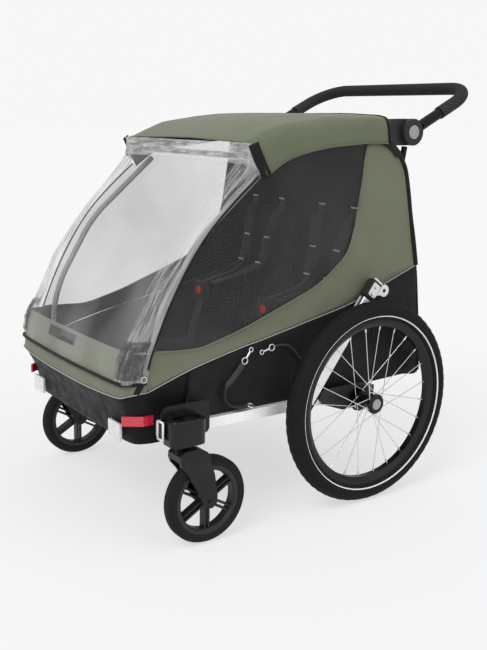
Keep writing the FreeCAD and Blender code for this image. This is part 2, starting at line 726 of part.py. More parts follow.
def caster_fork():
    """Stem, neck, crown and two blades, with the wheel's bolt."""
    x = CASTER_X
    crown = side_plate([(-541, 205), (-540, 218), (-528, 228), (-490, 228), (-472, 218),
                        (-462, 205), (-466, 200.6), (-536, 200.6)], x - 26, x + 26)
    crown = crown.cut(block((x - 18.5, x + 18.5), (-500, -440), (190, 204)))
    body = rounded(crown, 6.0, along("z"))
    blade = [(-540, 206), (-466, 206), (-452, 160), (-445, 110), (-447, 94), (-458, 85),
             (-470, 86), (-481, 97), (-492, 122), (-522, 176), (-537, 194)]
    for low in (x - 26, x + 19.5):
        plate = side_plate(blade, low, low + 6.5)
        body = body.fuse(plate).fuse(rod((low, CASTER_Y, CASTER_R),
                                         (low + 6.5, CASTER_Y, CASTER_R), 14.5))
    body = body.fuse(rod((x, SWIVEL_Y, 220), (x, SWIVEL_Y, 235.5), 15.0))
    body = body.fuse(rod((x, SWIVEL_Y, 234), (x, SWIVEL_Y, 272), STEM_R)).removeSplitter()
    return body.fuse(rod((x - 29, CASTER_Y, CASTER_R), (x + 29, CASTER_Y, CASTER_R), 5.0))


def caster_button():
    """Push button above the stem, let into the mount's top."""
    x = CASTER_X + 3
    top = MOUNT_TOP - 2
    button = rod((x, SWIVEL_Y, top - 11), (x, SWIVEL_Y, top), BUTTON_R)
    return rounded(button, 1.5, lambda e: abs(e.CenterOfMass.z - top) < 0.1)


def casters():
    for side, sign in SIDES:
        save("caster_tyre_" + side, mirrored(caster_tyre(), sign))
        save("caster_wheel_" + side, mirrored(caster_core(), sign))
        save("caster_fork_" + side, mirrored(caster_fork(), sign))
        save("caster_button_" + side, mirrored(caster_button(), sign))


# ---- parking brake -----------------------------------------------------------------------------------
def brake():
    """Foot lever on the axle tube, and a pin at each wheel that it drives."""
    hinge = (0.0, 246.0)
    ring = rod((-30, *hinge), (30, *hinge), 17.0)
    arm = side_plate([(8, 236), (8, 252), (100, 246), (118, 240), (118, 230), (98, 232)], -22, 22)
    pad = rounded(block((-58, 58), (100, 140), (228, 241)), 5.0, along("z"))
    lever = ring.fuse(arm).fuse(pad).removeSplitter()
    save("brake_pedal", lever.cut(rod((-31, *hinge), (31, *hinge), AXLE_TUBE_R + FIT)))
    for side, sign in SIDES:
        pin = rod((301.2, 0, BRAKE_PIN_Z), (310.6, 0, BRAKE_PIN_Z), BRAKE_PIN_R)
        save("brake_pin_" + side, mirrored(pin, sign))


# ---- stowed tow arm ------------------------------------------------------------------------------------
def arm_block(u, v, x):
    """Box in the tow arm's own axes: u from its foot along it, v across it in side view."""
    dy, dz = ARM_TOP[0] - ARM_FOOT[0], ARM_TOP[1] - ARM_FOOT[1]
    length = math.hypot(dy, dz)
    ahead = (dy / length, dz / length)
    across = (-ahead[1], ahead[0])
    corners = [(u[0], v[0]), (u[1], v[0]), (u[1], v[1]), (u[0], v[1])]
    outline = [(ARM_FOOT[0] + a * ahead[0] + b * across[0],
                ARM_FOOT[1] + a * ahead[1] + b * across[1]) for a, b in corners]
    return side_plate(outline, x[0], x[1])


def arm_point(u, v):
    """Side-view point in the tow arm's own axes."""
    dy, dz = ARM_TOP[0] - ARM_FOOT[0], ARM_TOP[1] - ARM_FOOT[1]
    length = math.hypot(dy, dz)
    return (ARM_FOOT[0] + (u * dy - v * dz) / length, ARM_FOOT[1] + (u * dz + v * dy) / length)


ARM_LENGTH = math.hypot(ARM_TOP[0] - ARM_FOOT[0], ARM_TOP[1] - ARM_FOOT[1])
COUPLER_PIVOT_U = ARM_LENGTH - 12.0
EYE = (66.0, 513.0)
EYE_X = (304.0, 312.0)


def tow_arm():
    """Rectangular tube with the coupler's pivot pin in its top end."""
    outer = arm_block((0, ARM_LENGTH), (-ARM_HALF, ARM_HALF), ARM_X)
    outer = rounded(outer, 3.0, lambda e: abs(e.Length - ARM_LENGTH) < 0.5)
    inner = arm_block((-1, ARM_LENGTH - 26), (-ARM_HALF + 2, ARM_HALF - 2),
                      (ARM_X[0] + 2, ARM_X[1] - 2))
    slot = arm_block((ARM_LENGTH - 27, ARM_LENGTH + 1), (-ARM_HALF - 1, ARM_HALF + 1),
                     (ARM_X[0] + 5, ARM_X[1] - 5))
    pin_at = arm_point(COUPLER_PIVOT_U, 0)
    pin = rod((ARM_X[0] + 1, *pin_at), (ARM_X[1] - 1, *pin_at), 4.0)
    return outer.cut(inner).cut(slot).fuse(pin)


def coupler_body():
    """Moulded joint that turns on the tow arm's pin and carries the hitch eye."""
    tongue = arm_block((ARM_LENGTH - 22, ARM_LENGTH + 8), (-10, 10), (306.8, 316.2))
    knuckle = rounded(arm_block((ARM_LENGTH + 5, ARM_LENGTH + 50), (-16, 16), (300.5, 322.5)), 5.0,
                      along("x"))
    body = tongue.fuse(knuckle).removeSplitter()
    pin_at = arm_point(COUPLER_PIVOT_U, 0)
    return body.cut(rod((300, *pin_at), (323, *pin_at), 4.0 + FIT))


def hitch_eye():
    """Steel eye plate that the bicycle's axle hitch pins into."""
    ring = rod((EYE_X[0], *EYE), (EYE_X[1], *EYE), 15.0)
    dy, dz = EYE
    neck = side_plate([arm_point(ARM_LENGTH + 18, -16.2), arm_point(ARM_LENGTH + 42, -16.2),
                       (dy - 4, dz + 12), (dy - 9, dz - 10)], *EYE_X)
    clamp = arm_block((ARM_LENGTH + 50.2, ARM_LENGTH + 55), (-15, 15), (302.0, 321.0))
    plate = rounded(arm_block((ARM_LENGTH + 10, ARM_LENGTH + 44), (-13, 13), (322.7, 324.7)), 4.0,
                    along("x"))
    bolts = [rod((324.7, *arm_point(ARM_LENGTH + u, 0)), (328.2, *arm_point(ARM_LENGTH + u, 0)), 5.0)
             for u in (18, 36)]
    plate = plate.fuse(bolts[0]).fuse(bolts[1])
    eye = ring.fuse(neck).removeSplitter()
    return eye.cut(rod((EYE_X[0] - 1, *EYE), (EYE_X[1] + 1, *EYE), 5.0)), clamp, plate


def towing():
    save("tow_arm", tow_arm())
    save("coupler_body", coupler_body())
    save("hitch_eye", *hitch_eye())


# ---- safety straps -----------------------------------------------------------------------------------------
STRAP_X = 297.6
STRAP_D = 10.0
STRAP_ROUTE = [(-330, 281), (-362, 280), (-390, 301), (-389, 336), (-362, 358), (-343, 381)]
TETHER_X = 294.6
TETHER_D = 5.0
TETHER_ROUTE = [(-252, 411), (-224, 414), (-198, 397), (-172, 366), (-140, 342), (-104, 345),
                (-72, 372), (-48, 408), (-20, 444), (-8, 466)]


def snap_hook(x, start, end):
    """Swivel ring, collar and gate hook, along a side-view line."""
    ring_at = toward(start, end, 9.0)
    ring = Part.makeTorus(7.5, 1.4, V(x, *ring_at), V(1, 0, 0))
    neck_at = toward(start, end, 15.5)
    top_at = toward(start, end, 34.0)
    loop = Part.makeTorus(5.0, 1.4, V(x, *toward(start, end, 38.0)), V(1, 0, 0))
    return ring.fuse(rod((x, *neck_at), (x, *top_at), 2.4)).fuse(loop)


def straps():
    save("safety_strap", cord_tube("safety_strap", [(STRAP_X, y, z) for y, z in STRAP_ROUTE],
                                   STRAP_D))
    save("tether_cord", cord_tube("tether_cord", [(TETHER_X, y, z) for y, z in TETHER_ROUTE],
                                  TETHER_D))
    rail_ring = Part.makeTorus(8.0, 1.5, V(STRAP_X, -319.8, 281.0), V(0.3, 0.1, 1.0))
    first = snap_hook(STRAP_X, STRAP_ROUTE[-1], (-313.0, 423.0))
    second = snap_hook(TETHER_X, TETHER_ROUTE[0], (-300.0, 398.0))
    end_ring = Part.makeTorus(5.0, 1.2, V(TETHER_X, -5.0, 472.0), V(1, 0, 0))
    save("strap_hardware", rail_ring, first, second, end_ring)


chassis()
body_cloth()
reflectors()
folding_frame()
handlebar()
rear_wheels()
casters()
brake()
towing()
straps()
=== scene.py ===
"""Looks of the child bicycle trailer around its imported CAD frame.

Side-view points are in millimetres with Y = 0 on the rear axle, as in part.py; at() turns them
into the row frame, in metres.
"""
import math

import bmesh
import bpy
from mathutils import Matrix, Vector, noise


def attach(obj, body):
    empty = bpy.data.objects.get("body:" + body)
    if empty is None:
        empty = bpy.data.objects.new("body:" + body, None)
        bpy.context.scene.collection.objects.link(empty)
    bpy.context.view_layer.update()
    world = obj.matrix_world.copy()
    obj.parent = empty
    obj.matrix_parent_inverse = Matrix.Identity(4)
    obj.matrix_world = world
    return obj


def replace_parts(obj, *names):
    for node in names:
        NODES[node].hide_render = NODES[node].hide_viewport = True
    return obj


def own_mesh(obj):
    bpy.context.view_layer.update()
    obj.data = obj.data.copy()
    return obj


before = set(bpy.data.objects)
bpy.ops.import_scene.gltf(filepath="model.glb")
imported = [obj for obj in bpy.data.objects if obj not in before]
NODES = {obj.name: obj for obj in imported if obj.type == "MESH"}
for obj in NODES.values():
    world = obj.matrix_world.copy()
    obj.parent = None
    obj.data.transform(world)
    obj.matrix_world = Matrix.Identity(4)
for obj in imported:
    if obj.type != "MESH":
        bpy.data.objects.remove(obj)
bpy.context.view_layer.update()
AXLE_Y = 127.04
SIDES = (("left", 1), ("right", -1))


def at(x, y, z):
    return Vector((x, y + AXLE_Y, z)) / 1000.0


# ---- materials ----
def node(tree, kind, **values):
    made = tree.nodes.new(kind)
    for key, value in values.items():
        if key in made.inputs:
            made.inputs[key].default_value = value
        else:
            setattr(made, key, value)
    return made


def new_material(name, colour, rough, metal=0.0, **sockets):
    material = bpy.data.materials.new(name)
    material.use_nodes = True
    tree = material.node_tree
    shader = tree.nodes["Principled BSDF"]
    shader.inputs["Base Color"].default_value = (*colour, 1)
    shader.inputs["Roughness"].default_value = rough
    shader.inputs["Metallic"].default_value = metal
    for key, value in sockets.items():
        shader.inputs[key].default_value = value
    return material, tree, shader


def ramp(tree, source, low, high, start=0.35, end=0.65):
    """Map a 0 to 1 value to a grey from low to high."""
    made = node(tree, "ShaderNodeMapRange")
    made.inputs["From Min"].default_value = start
    made.inputs["From Max"].default_value = end
    made.inputs["To Min"].default_value = low
    made.inputs["To Max"].default_value = high
    tree.links.new(source, made.inputs["Value"])
    return made.outputs["Result"]


def tint(tree, shader, colour, factor, strength):
    """Base colour that varies by strength with a 0 to 1 factor."""
    mix = node(tree, "ShaderNodeMix", data_type="RGBA")
    mix.inputs["A"].default_value = (*[c * (1 - strength) for c in colour], 1)
    mix.inputs["B"].default_value = (*[min(1, c * (1 + strength)) for c in colour], 1)
    tree.links.new(factor, mix.inputs["Factor"])
    tree.links.new(mix.outputs["Result"], shader.inputs["Base Color"])
    return mix


def bumps(tree, shader, layers):
    """Chain of bump nodes from (height socket, distance in metres, strength)."""
    last = None
    for height, distance, strength in layers:
        bump = node(tree, "ShaderNodeBump", Strength=strength, Distance=distance)
        tree.links.new(height, bump.inputs["Height"])
        if last:
            tree.links.new(last, bump.inputs["Normal"])
        last = bump.outputs["Normal"]
    tree.links.new(last, shader.inputs["Normal"])


def noise_at(tree, coords, scale, detail=3.0, rough=0.55):
    made = node(tree, "ShaderNodeTexNoise", Scale=scale, Detail=detail, Roughness=rough)
    tree.links.new(coords, made.inputs["Vector"])
    return made.outputs["Fac"]


def cloth(name, colour, pitch=0.9, rough=0.85, sheen=0.25, wrinkle=0.5, vary=0.12, shine=0.2):
    """Woven cloth: over-and-under threads from two crossed waves, soft folds and faded patches."""
    material, tree, shader = new_material(name, colour, rough, **{
        "Sheen Weight": sheen, "Sheen Roughness": 0.45, "Specular IOR Level": shine})
    coords = node(tree, "ShaderNodeTexCoord")
    threads = []
    for direction in ("X", "Y"):
        wave = node(tree, "ShaderNodeTexWave", Scale=3.14 / (pitch * 0.01) / 10, Distortion=0.4)
        wave.bands_direction = direction
        tree.links.new(coords.outputs["UV"], wave.inputs["Vector"])
        threads.append(wave.outputs["Fac"])
    weave = node(tree, "ShaderNodeMath", operation="MAXIMUM")
    tree.links.new(threads[0], weave.inputs[0])
    tree.links.new(threads[1], weave.inputs[1])
    folds = noise_at(tree, coords.outputs["Object"], 9.0, 4.0, 0.5)
    creases = noise_at(tree, coords.outputs["Object"], 34.0, 3.0, 0.6)
    fade = noise_at(tree, coords.outputs["Object"], 5.0, 5.0, 0.6)
    tint(tree, shader, colour, ramp(tree, fade, 0.0, 1.0, 0.3, 0.7), vary)
    tree.links.new(ramp(tree, creases, rough - 0.1, min(1, rough + 0.08)),
                   shader.inputs["Roughness"])
    bumps(tree, shader, [(folds, 0.02, 0.35 * wrinkle), (creases, 0.004, 0.4 * wrinkle),
                         (weave.outputs[0], 0.0005, 0.35)])
    return material


def moulded(name, colour, rough=0.5, grain=900.0, wear=0.5, coat=0.0, shine=0.3):
    """Moulded plastic or rubber: fine spark grain, and edges polished a little lighter."""
    material, tree, shader = new_material(name, colour, rough, **{
        "Coat Weight": coat, "Coat Roughness": 0.25, "Specular IOR Level": shine})
    coords = node(tree, "ShaderNodeTexCoord")
    fine = noise_at(tree, coords.outputs["Object"], grain, 2.0)
    broad = noise_at(tree, coords.outputs["Object"], 14.0, 5.0)
    geometry = node(tree, "ShaderNodeNewGeometry")
    edge = ramp(tree, geometry.outputs["Pointiness"], 0.0, wear, 0.5, 0.56)
    dust = ramp(tree, broad, 0.0, 0.3, 0.35, 0.7)
    both = node(tree, "ShaderNodeMath", operation="ADD", use_clamp=True)
    tree.links.new(edge, both.inputs[0])
    tree.links.new(dust, both.inputs[1])
    light = [min(1.0, c * 1.6 + 0.006) for c in colour]
    mix = node(tree, "ShaderNodeMix", data_type="RGBA")
    mix.inputs["A"].default_value = (*colour, 1)
    mix.inputs["B"].default_value = (*light, 1)
    tree.links.new(both.outputs[0], mix.inputs["Factor"])
    tree.links.new(mix.outputs["Result"], shader.inputs["Base Color"])
    tree.links.new(ramp(tree, broad, rough - 0.06, rough + 0.08), shader.inputs["Roughness"])
    bumps(tree, shader, [(fine, 0.0004, 0.35)])
    return material


def metal(name, colour, rough=0.35, stretch=(1, 0.03, 1), streak=260.0, bare=1.0):
    """Metal with fine drawn streaks along one axis and faint smudges."""
    material, tree, shader = new_material(name, colour, rough, bare)
    coords = node(tree, "ShaderNodeTexCoord")
    mapping = node(tree, "ShaderNodeMapping", Scale=stretch)
    tree.links.new(coords.outputs["Object"], mapping.inputs["Vector"])
    lines = noise_at(tree, mapping.outputs["Vector"], streak, 3.0)
    smudge = noise_at(tree, coords.outputs["Object"], 11.0, 5.0)
    tint(tree, shader, colour, ramp(tree, smudge, 0, 1), 0.08)
    total = node(tree, "ShaderNodeMath", operation="MULTIPLY_ADD")
    tree.links.new(lines, total.inputs[0])
    total.inputs[1].default_value = 0.16
    tree.links.new(ramp(tree, smudge, rough - 0.12, rough), total.inputs[2])
    tree.links.new(total.outputs[0], shader.inputs["Roughness"])
    bumps(tree, shader, [(lines, 0.0002, 0.25)])
    return material


def film(name, colour, alpha, edge_alpha, rough=0.12, wrinkle=0.6, streaks=None, coat=1.0):
    """Flexible window film: clear or tinted, with soft ripples and hazier creases.

    streaks scales the ripples across and along the sheet, for creases that run along an edge.
    """
    material, tree, shader = new_material(name, colour, rough, **{
        "Coat Weight": coat, "Coat Roughness": 0.08, "Specular IOR Level": 0.5})
    coords = node(tree, "ShaderNodeTexCoord")
    mapping = node(tree, "ShaderNodeMapping", Scale=streaks or (1.0, 0.55, 0.55))
    tree.links.new(coords.outputs["UV" if streaks else "Object"], mapping.inputs["Vector"])
    ripple = noise_at(tree, mapping.outputs["Vector"], 7.0, 4.0 if streaks else 2.5,
                      0.7 if streaks else 0.45)
    fine = noise_at(tree, coords.outputs["Object"], 16.0, 1.0, 0.4)
    tree.links.new(ramp(tree, ripple, alpha, edge_alpha, 0.42, 0.72), shader.inputs["Alpha"])
    tree.links.new(ramp(tree, fine, rough * 0.6, rough * 1.6), shader.inputs["Roughness"])
    bumps(tree, shader, [(ripple, 0.004 if streaks else 0.02, 0.5 * wrinkle),
                         (fine, 0.004, 0.3 * wrinkle)])
    return material


def lens(name, colour):
    """Prismatic reflector: small bright cells under a glossy skin."""
    material, tree, shader = new_material(name, colour, 0.15, **{
        "Coat Weight": 1.0, "Coat Roughness": 0.05})
    coords = node(tree, "ShaderNodeTexCoord")
    cells = node(tree, "ShaderNodeTexVoronoi", Scale=140.0, distance="MANHATTAN")
    tree.links.new(coords.outputs["Object"], cells.inputs["Vector"])
    tint(tree, shader, colour, ramp(tree, cells.outputs["Distance"], 0, 1, 0.0, 0.6), 0.35)
    bumps(tree, shader, [(cells.outputs["Distance"], 0.001, 0.5)])
    return material


GREEN = (0.152, 0.166, 0.113)
M = {
    "green": cloth("green_cloth", GREEN, wrinkle=0.55, vary=0.09),
    "roof": cloth("roof_cloth", (0.128, 0.145, 0.092), wrinkle=0.4, vary=0.08),
    "black": cloth("black_cloth", (0.0085, 0.0085, 0.009), rough=0.6, sheen=0.0, wrinkle=1.3,
                   vary=0.3, shine=0.22),
    "lining": cloth("inner_lining", (0.007, 0.007, 0.0075), rough=0.9, sheen=0.0, wrinkle=0.5),
    "seat": cloth("seat_cloth", (0.012, 0.012, 0.013), sheen=0.08, wrinkle=0.5, vary=0.2),
    "webbing": cloth("webbing", (0.009, 0.009, 0.0095), pitch=1.6, rough=0.6, sheen=0.05,
                     wrinkle=0.2),
    "binding": cloth("binding", (0.008, 0.008, 0.0085), pitch=1.2, rough=0.6, sheen=0.04,
                     wrinkle=0.2),
    "piping": cloth("piping", (0.36, 0.37, 0.37), pitch=1.0, rough=0.4, wrinkle=0.2, vary=0.08),
    "tag": cloth("tag", (0.78, 0.78, 0.77), pitch=1.0, rough=0.5, wrinkle=0.2, vary=0.06),
    "thread": cloth("thread", (0.09, 0.1, 0.07), pitch=1.0, rough=0.6, wrinkle=0.2, vary=0.06),
    "plastic": moulded("black_plastic", (0.012, 0.012, 0.0125), 0.42),
    "grey": moulded("grey_plastic", (0.27, 0.28, 0.29), 0.42, wear=0.3),
    "red": moulded("red_plastic", (0.62, 0.02, 0.015), 0.3, 700.0, coat=0.5),
    "board": moulded("board", (0.012, 0.012, 0.012), 0.6),
    "tyre": moulded("tyre_rubber", (0.0085, 0.0083, 0.0082), 0.7, 600.0, wear=0.6, shine=0.1),
    "foam": moulded("grip_foam", (0.021, 0.021, 0.0215), 0.85, 260.0, wear=0.3, shine=0.2),
    "alu": metal("aluminium", (0.9, 0.91, 0.92), 0.42, bare=0.5),
    "black_tube": metal("black_frame_tube", (0.02, 0.02, 0.021), 0.4, stretch=(1, 0.1, 0.1)),
    "rim": metal("black_rim", (0.034, 0.034, 0.035), 0.36, stretch=(0.05, 1, 1)),
    "steel": metal("zinc_steel", (0.72, 0.72, 0.72), 0.3, stretch=(1, 1, 1), streak=90.0),
    "spoke": metal("spoke_wire", (0.72, 0.72, 0.73), 0.25, stretch=(1, 1, 1)),
    "black_metal": metal("black_anodised", (0.03, 0.03, 0.032), 0.4),
    "window": film("window_film", (0.075, 0.075, 0.075), 0.16, 0.25, rough=0.2, wrinkle=0.3,
                   coat=0.15),
    "clear": film("clear_film", (0.78, 0.80, 0.80), 0.04, 0.12, wrinkle=0.4, coat=0.3),
    "clear_hem": film("clear_hem", (0.66, 0.67, 0.67), 0.0, 0.46, wrinkle=0.7,
                      streaks=(16.0, 1.2, 1.0), coat=0.3),
    "top_hem": film("top_hem", (0.82, 0.84, 0.84), 0.12, 0.6, wrinkle=1.6,
                    streaks=(2.2, 14.0, 1.0)),
    "bunch": film("bunched_film", (0.07, 0.07, 0.072), 0.1, 0.92, wrinkle=1.2,
                  streaks=(7.0, 9.0, 1.0), coat=0.8),
    "sleeve": cloth("grey_sleeve", (0.25, 0.25, 0.25), pitch=1.2, rough=0.6, wrinkle=0.2),
    "tub": cloth("tub_cloth", (0.0075, 0.0075, 0.008), rough=0.55, sheen=0.0, wrinkle=0.4,
                 vary=0.2, shine=0.14),
    "white_lens": lens("white_lens", (0.5, 0.5, 0.5)),
    "red_lens": lens("red_lens", (0.42, 0.007, 0.03)),
    "gloss": moulded("gloss_black", (0.005, 0.005, 0.0055), 0.25, 400.0, wear=0.4, coat=0.18,
                     shine=0.2),
    "strap": cloth("strap_webbing", (0.022, 0.022, 0.023), pitch=1.6, rough=0.5, sheen=0.1,
                   wrinkle=0.2, shine=0.4),
    "pad": cloth("pad_cloth", (0.03, 0.03, 0.031), sheen=0.1, wrinkle=0.6, vary=0.2),
    "mesh": cloth("mesh_lining", (0.03, 0.03, 0.03), rough=0.9, sheen=0.1, wrinkle=0.4),
    "silver": moulded("silver_trim", (0.6, 0.6, 0.6), 0.35, wear=0.3),
}


# ---- mesh helpers ----
def catmull(points, steps):
    """Smooth line through points, steps per span; points are tuples or vectors."""
    pts = [Vector(p) for p in points]
    ends = [pts[0] * 2 - pts[1]] + pts + [pts[-1] * 2 - pts[-2]]
    line = []
    for a, b, c, d in zip(ends, ends[1:], ends[2:], ends[3:]):
        for i in range(steps):
            t = i / steps
            line.append(0.5 * (2 * b + (c - a) * t + (2 * a - 5 * b + 4 * c - d) * t * t
                               + (3 * b - a - 3 * c + d) * t ** 3))
    return line + [pts[-1]]


def make_object(name, mesh, material, smooth=True):
    for polygon in mesh.polygons:
        polygon.use_smooth = smooth
    obj = bpy.data.objects.new(name, mesh)
    bpy.context.scene.collection.objects.link(obj)
    mesh.materials.append(material)
    return obj


CUT = {}  # flat width, length and area of each sheet, by piece
LEAST_SHARE = 0.31  # of width times length that a cut's area is declared to fill


def cut_size(rows):
    """Longest row, longest column and area of a grid of points.

    The length is not the column where the area fills less than LEAST_SHARE, as on the side
    cloth, or more than all of it: then it is worked back from the area.
    """
    def run(points):
        return sum((b - a).length for a, b in zip(points, points[1:]))
    area = 0.0
    for low, high in zip(rows, rows[1:]):
        for a, b, c, d in zip(low, low[1:], high[1:], high):
            area += ((c - a).cross(d - b)).length / 2
    wide, long = max(run(row) for row in rows), max(run(column) for column in zip(*rows))
    if area > wide * long:
        long = area / wide
    return wide, min(long, area / wide / LEAST_SHARE), area


def sheet_mesh(name, rows, material, thick=0.0, inner=None, flip=False, closed=False):
    """Object from a grid of points; its UVs are the distances along the grid, in metres.

    A thick sheet's inner face, away from its normals, takes the inner material.
    """
    width = len(rows[0])
    verts = [tuple(p) for row in rows for p in row]
    faces = []
    last = len(rows) if closed else len(rows) - 1
    for r in range(last):
        for c in range(width - 1):
            a, b = r * width + c, ((r + 1) % len(rows)) * width + c
            faces.append((a, a + 1, b + 1, b))
    mesh = bpy.data.meshes.new(name)
    mesh.from_pydata(verts, [], faces)
    across = [0.0]
    middle = rows[len(rows) // 2]
    for a, b in zip(middle, middle[1:]):
        across.append(across[-1] + (b - a).length)
    along = [0.0]
    for a, b in zip(rows, rows[1:] + rows[:1]):
        along.append(along[-1] + (b[width // 2] - a[width // 2]).length)
    layer = mesh.uv_layers.new(name="UVMap")
    for polygon in mesh.polygons:
        for loop in polygon.loop_indices:
            index = mesh.loops[loop].vertex_index
            layer.data[loop].uv = (across[index % width], along[index // width])
    if flip:
        mesh.flip_normals()
    obj = make_object(name, mesh, material)
    CUT[obj.name] = cut_size(rows)
    if thick:
        solid = obj.modifiers.new("thickness", "SOLIDIFY")
        solid.thickness = thick
        solid.offset = -1.0
    if inner:
        mesh.materials.append(inner)
        solid.material_offset = 1
    return obj


def tube_mesh(name, line, radius, material, sides=8, flat=1.0, flat_axis=None):
    """Closed tube along a line; flat < 1 squeezes it across flat_axis."""
    line = [Vector(p) for p in line]
    rings = []
    normal = None
    for i, point in enumerate(line):
        ahead = (line[min(i + 1, len(line) - 1)] - line[max(i - 1, 0)]).normalized()
        if normal is None:
            normal = Vector(flat_axis) if flat_axis else ahead.orthogonal()
        if flat_axis:
            normal = Vector(flat_axis)
        normal = (normal - ahead * normal.dot(ahead)).normalized()
        side = ahead.cross(normal)
        rings.append([point + (normal * math.cos(t) * flat + side * math.sin(t)) * radius
                      for t in (math.tau * k / sides for k in range(sides))])
    verts = [tuple(p) for ring in rings for p in ring]
    faces = [tuple(range(sides))[::-1], tuple(range(len(verts) - sides, len(verts)))]
    for r in range(len(rings) - 1):
        for k in range(sides):
            a, b = r * sides + k, r * sides + (k + 1) % sides
            faces.append((a, b, b + sides, a + sides))
    mesh = bpy.data.meshes.new(name)
    mesh.from_pydata(verts, [], faces)
    return make_object(name, mesh, material)


def ribbon(name, line, width, thick, across, material):
    """Webbing: a thin strap with rounded selvedges, along a line."""
    return tube_mesh(name, line, width / 2, material, 12, thick / width, across)


def lathe(name, profile, centre, material, segments):
    """Mesh turned about the X axis through centre, from (radius, x) points in metres.

    The last point joins the first.
    """
    rows = []
    for s in range(segments):
        t = math.tau * s / segments
        ring = [centre + Vector((x, r * math.sin(t), r * math.cos(t))) for r, x in profile]
        rows.append(ring + ring[:1])
    return sheet_mesh(name, rows, material, closed=True)


def joined(name, objects):
    """One object from several, keeping their materials."""
    bpy.ops.object.select_all(action="DESELECT")
    for obj in objects:
        obj.select_set(True)
    bpy.context.view_layer.objects.active = objects[0]
    if len(objects) > 1:
        bpy.ops.object.join()
    objects[0].name = name
    return objects[0]


def stitches(name, line, material, pitch=0.0055, length=0.0034, radius=0.00045):
    """Row of raised stitches along a line, as one object."""
    line = [Vector(p) for p in line]
    mesh = bmesh.new()
    carried = 0.0
    for a, b in zip(line, line[1:]):
        run = (b - a).length
        if run < 1e-9:
            continue
        ahead = (b - a) / run
        side = ahead.orthogonal().normalized()
        up = ahead.cross(side)
        s = pitch - carried
        while s < run:
            here = a + ahead * s
            ring = [here - ahead * length / 2, here + side * radius, here + up * radius,
                    here - side * radius, here - up * radius, here + ahead * length / 2]
            v = [mesh.verts.new(p) for p in ring]
            for i, j in ((1, 2), (2, 3), (3, 4), (4, 1)):
                mesh.faces.new((v[0], v[i], v[j]))
                mesh.faces.new((v[5], v[j], v[i]))
            s += pitch
        carried = (carried + run) % pitch
    data = bpy.data.meshes.new(name)
    mesh.to_mesh(data)
    mesh.free()
    return make_object(name, data, material, smooth=False)


def mirror_copy(obj, name):
    """Mirror image of a mesh object across the middle of the trailer."""
    mesh = obj.data.copy()
    mesh.transform(Matrix.Scale(-1, 4, (1, 0, 0)))
    mesh.flip_normals()
    copy = bpy.data.objects.new(name, mesh)
    bpy.context.scene.collection.objects.link(copy)
    CUT[copy.name] = CUT.get(obj.name)
    for modifier in obj.modifiers:
        made = copy.modifiers.new(modifier.name, modifier.type)
        for key in ("thickness", "offset", "material_offset", "levels", "render_levels"):
            if hasattr(modifier, key):
                setattr(made, key, getattr(modifier, key))
    return copy


def crumples(obj):
    """Cloth piece hung on the chassis, with a mesh of its own."""
    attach(obj, "chassis")
    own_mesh(obj)
    return obj


def pairs_to_rows(low, high, rows, steps, x_at):
    """Grid between two matched side-view lines; x_at(y, z, s) gives the surface's x."""
    low = catmull([(y, z, 0) for y, z in low], steps)
    high = catmull([(y, z, 0) for y, z in high], steps)
    grid = []
    for r in range(rows + 1):
        s = r / rows
        line = []
        for a, b in zip(low, high):
            p = a.lerp(b, s)
            line.append(at(x_at(p.x, p.y, s), p.x, p.y))
        grid.append(line)
    return grid


def rumple(y, z, scale, depth, seed=0.0):
    """Smooth repeatable unevenness in millimetres."""
    return noise.noise(Vector((y * scale, z * scale, seed))) * depth


# ---- camera, light and floor ----
CAMERA_TURN = (54.88, 12.78, 1.02)  # azimuth, pitch and roll, in degrees
CAMERA_PLACE = (1904, -1473, 917)
CAMERA_LENS = 50.28
PAPER = 0.93      # brightness of the floor and of the background that the camera sees
SKY_LIGHT = 0.62  # the same background as a light
FLOOR = 0.3       # share of the floor's brightness that can fall into shadow
GLOW = 0.605      # the rest, painted on as the floor's own glow, which keeps shadows on it faint
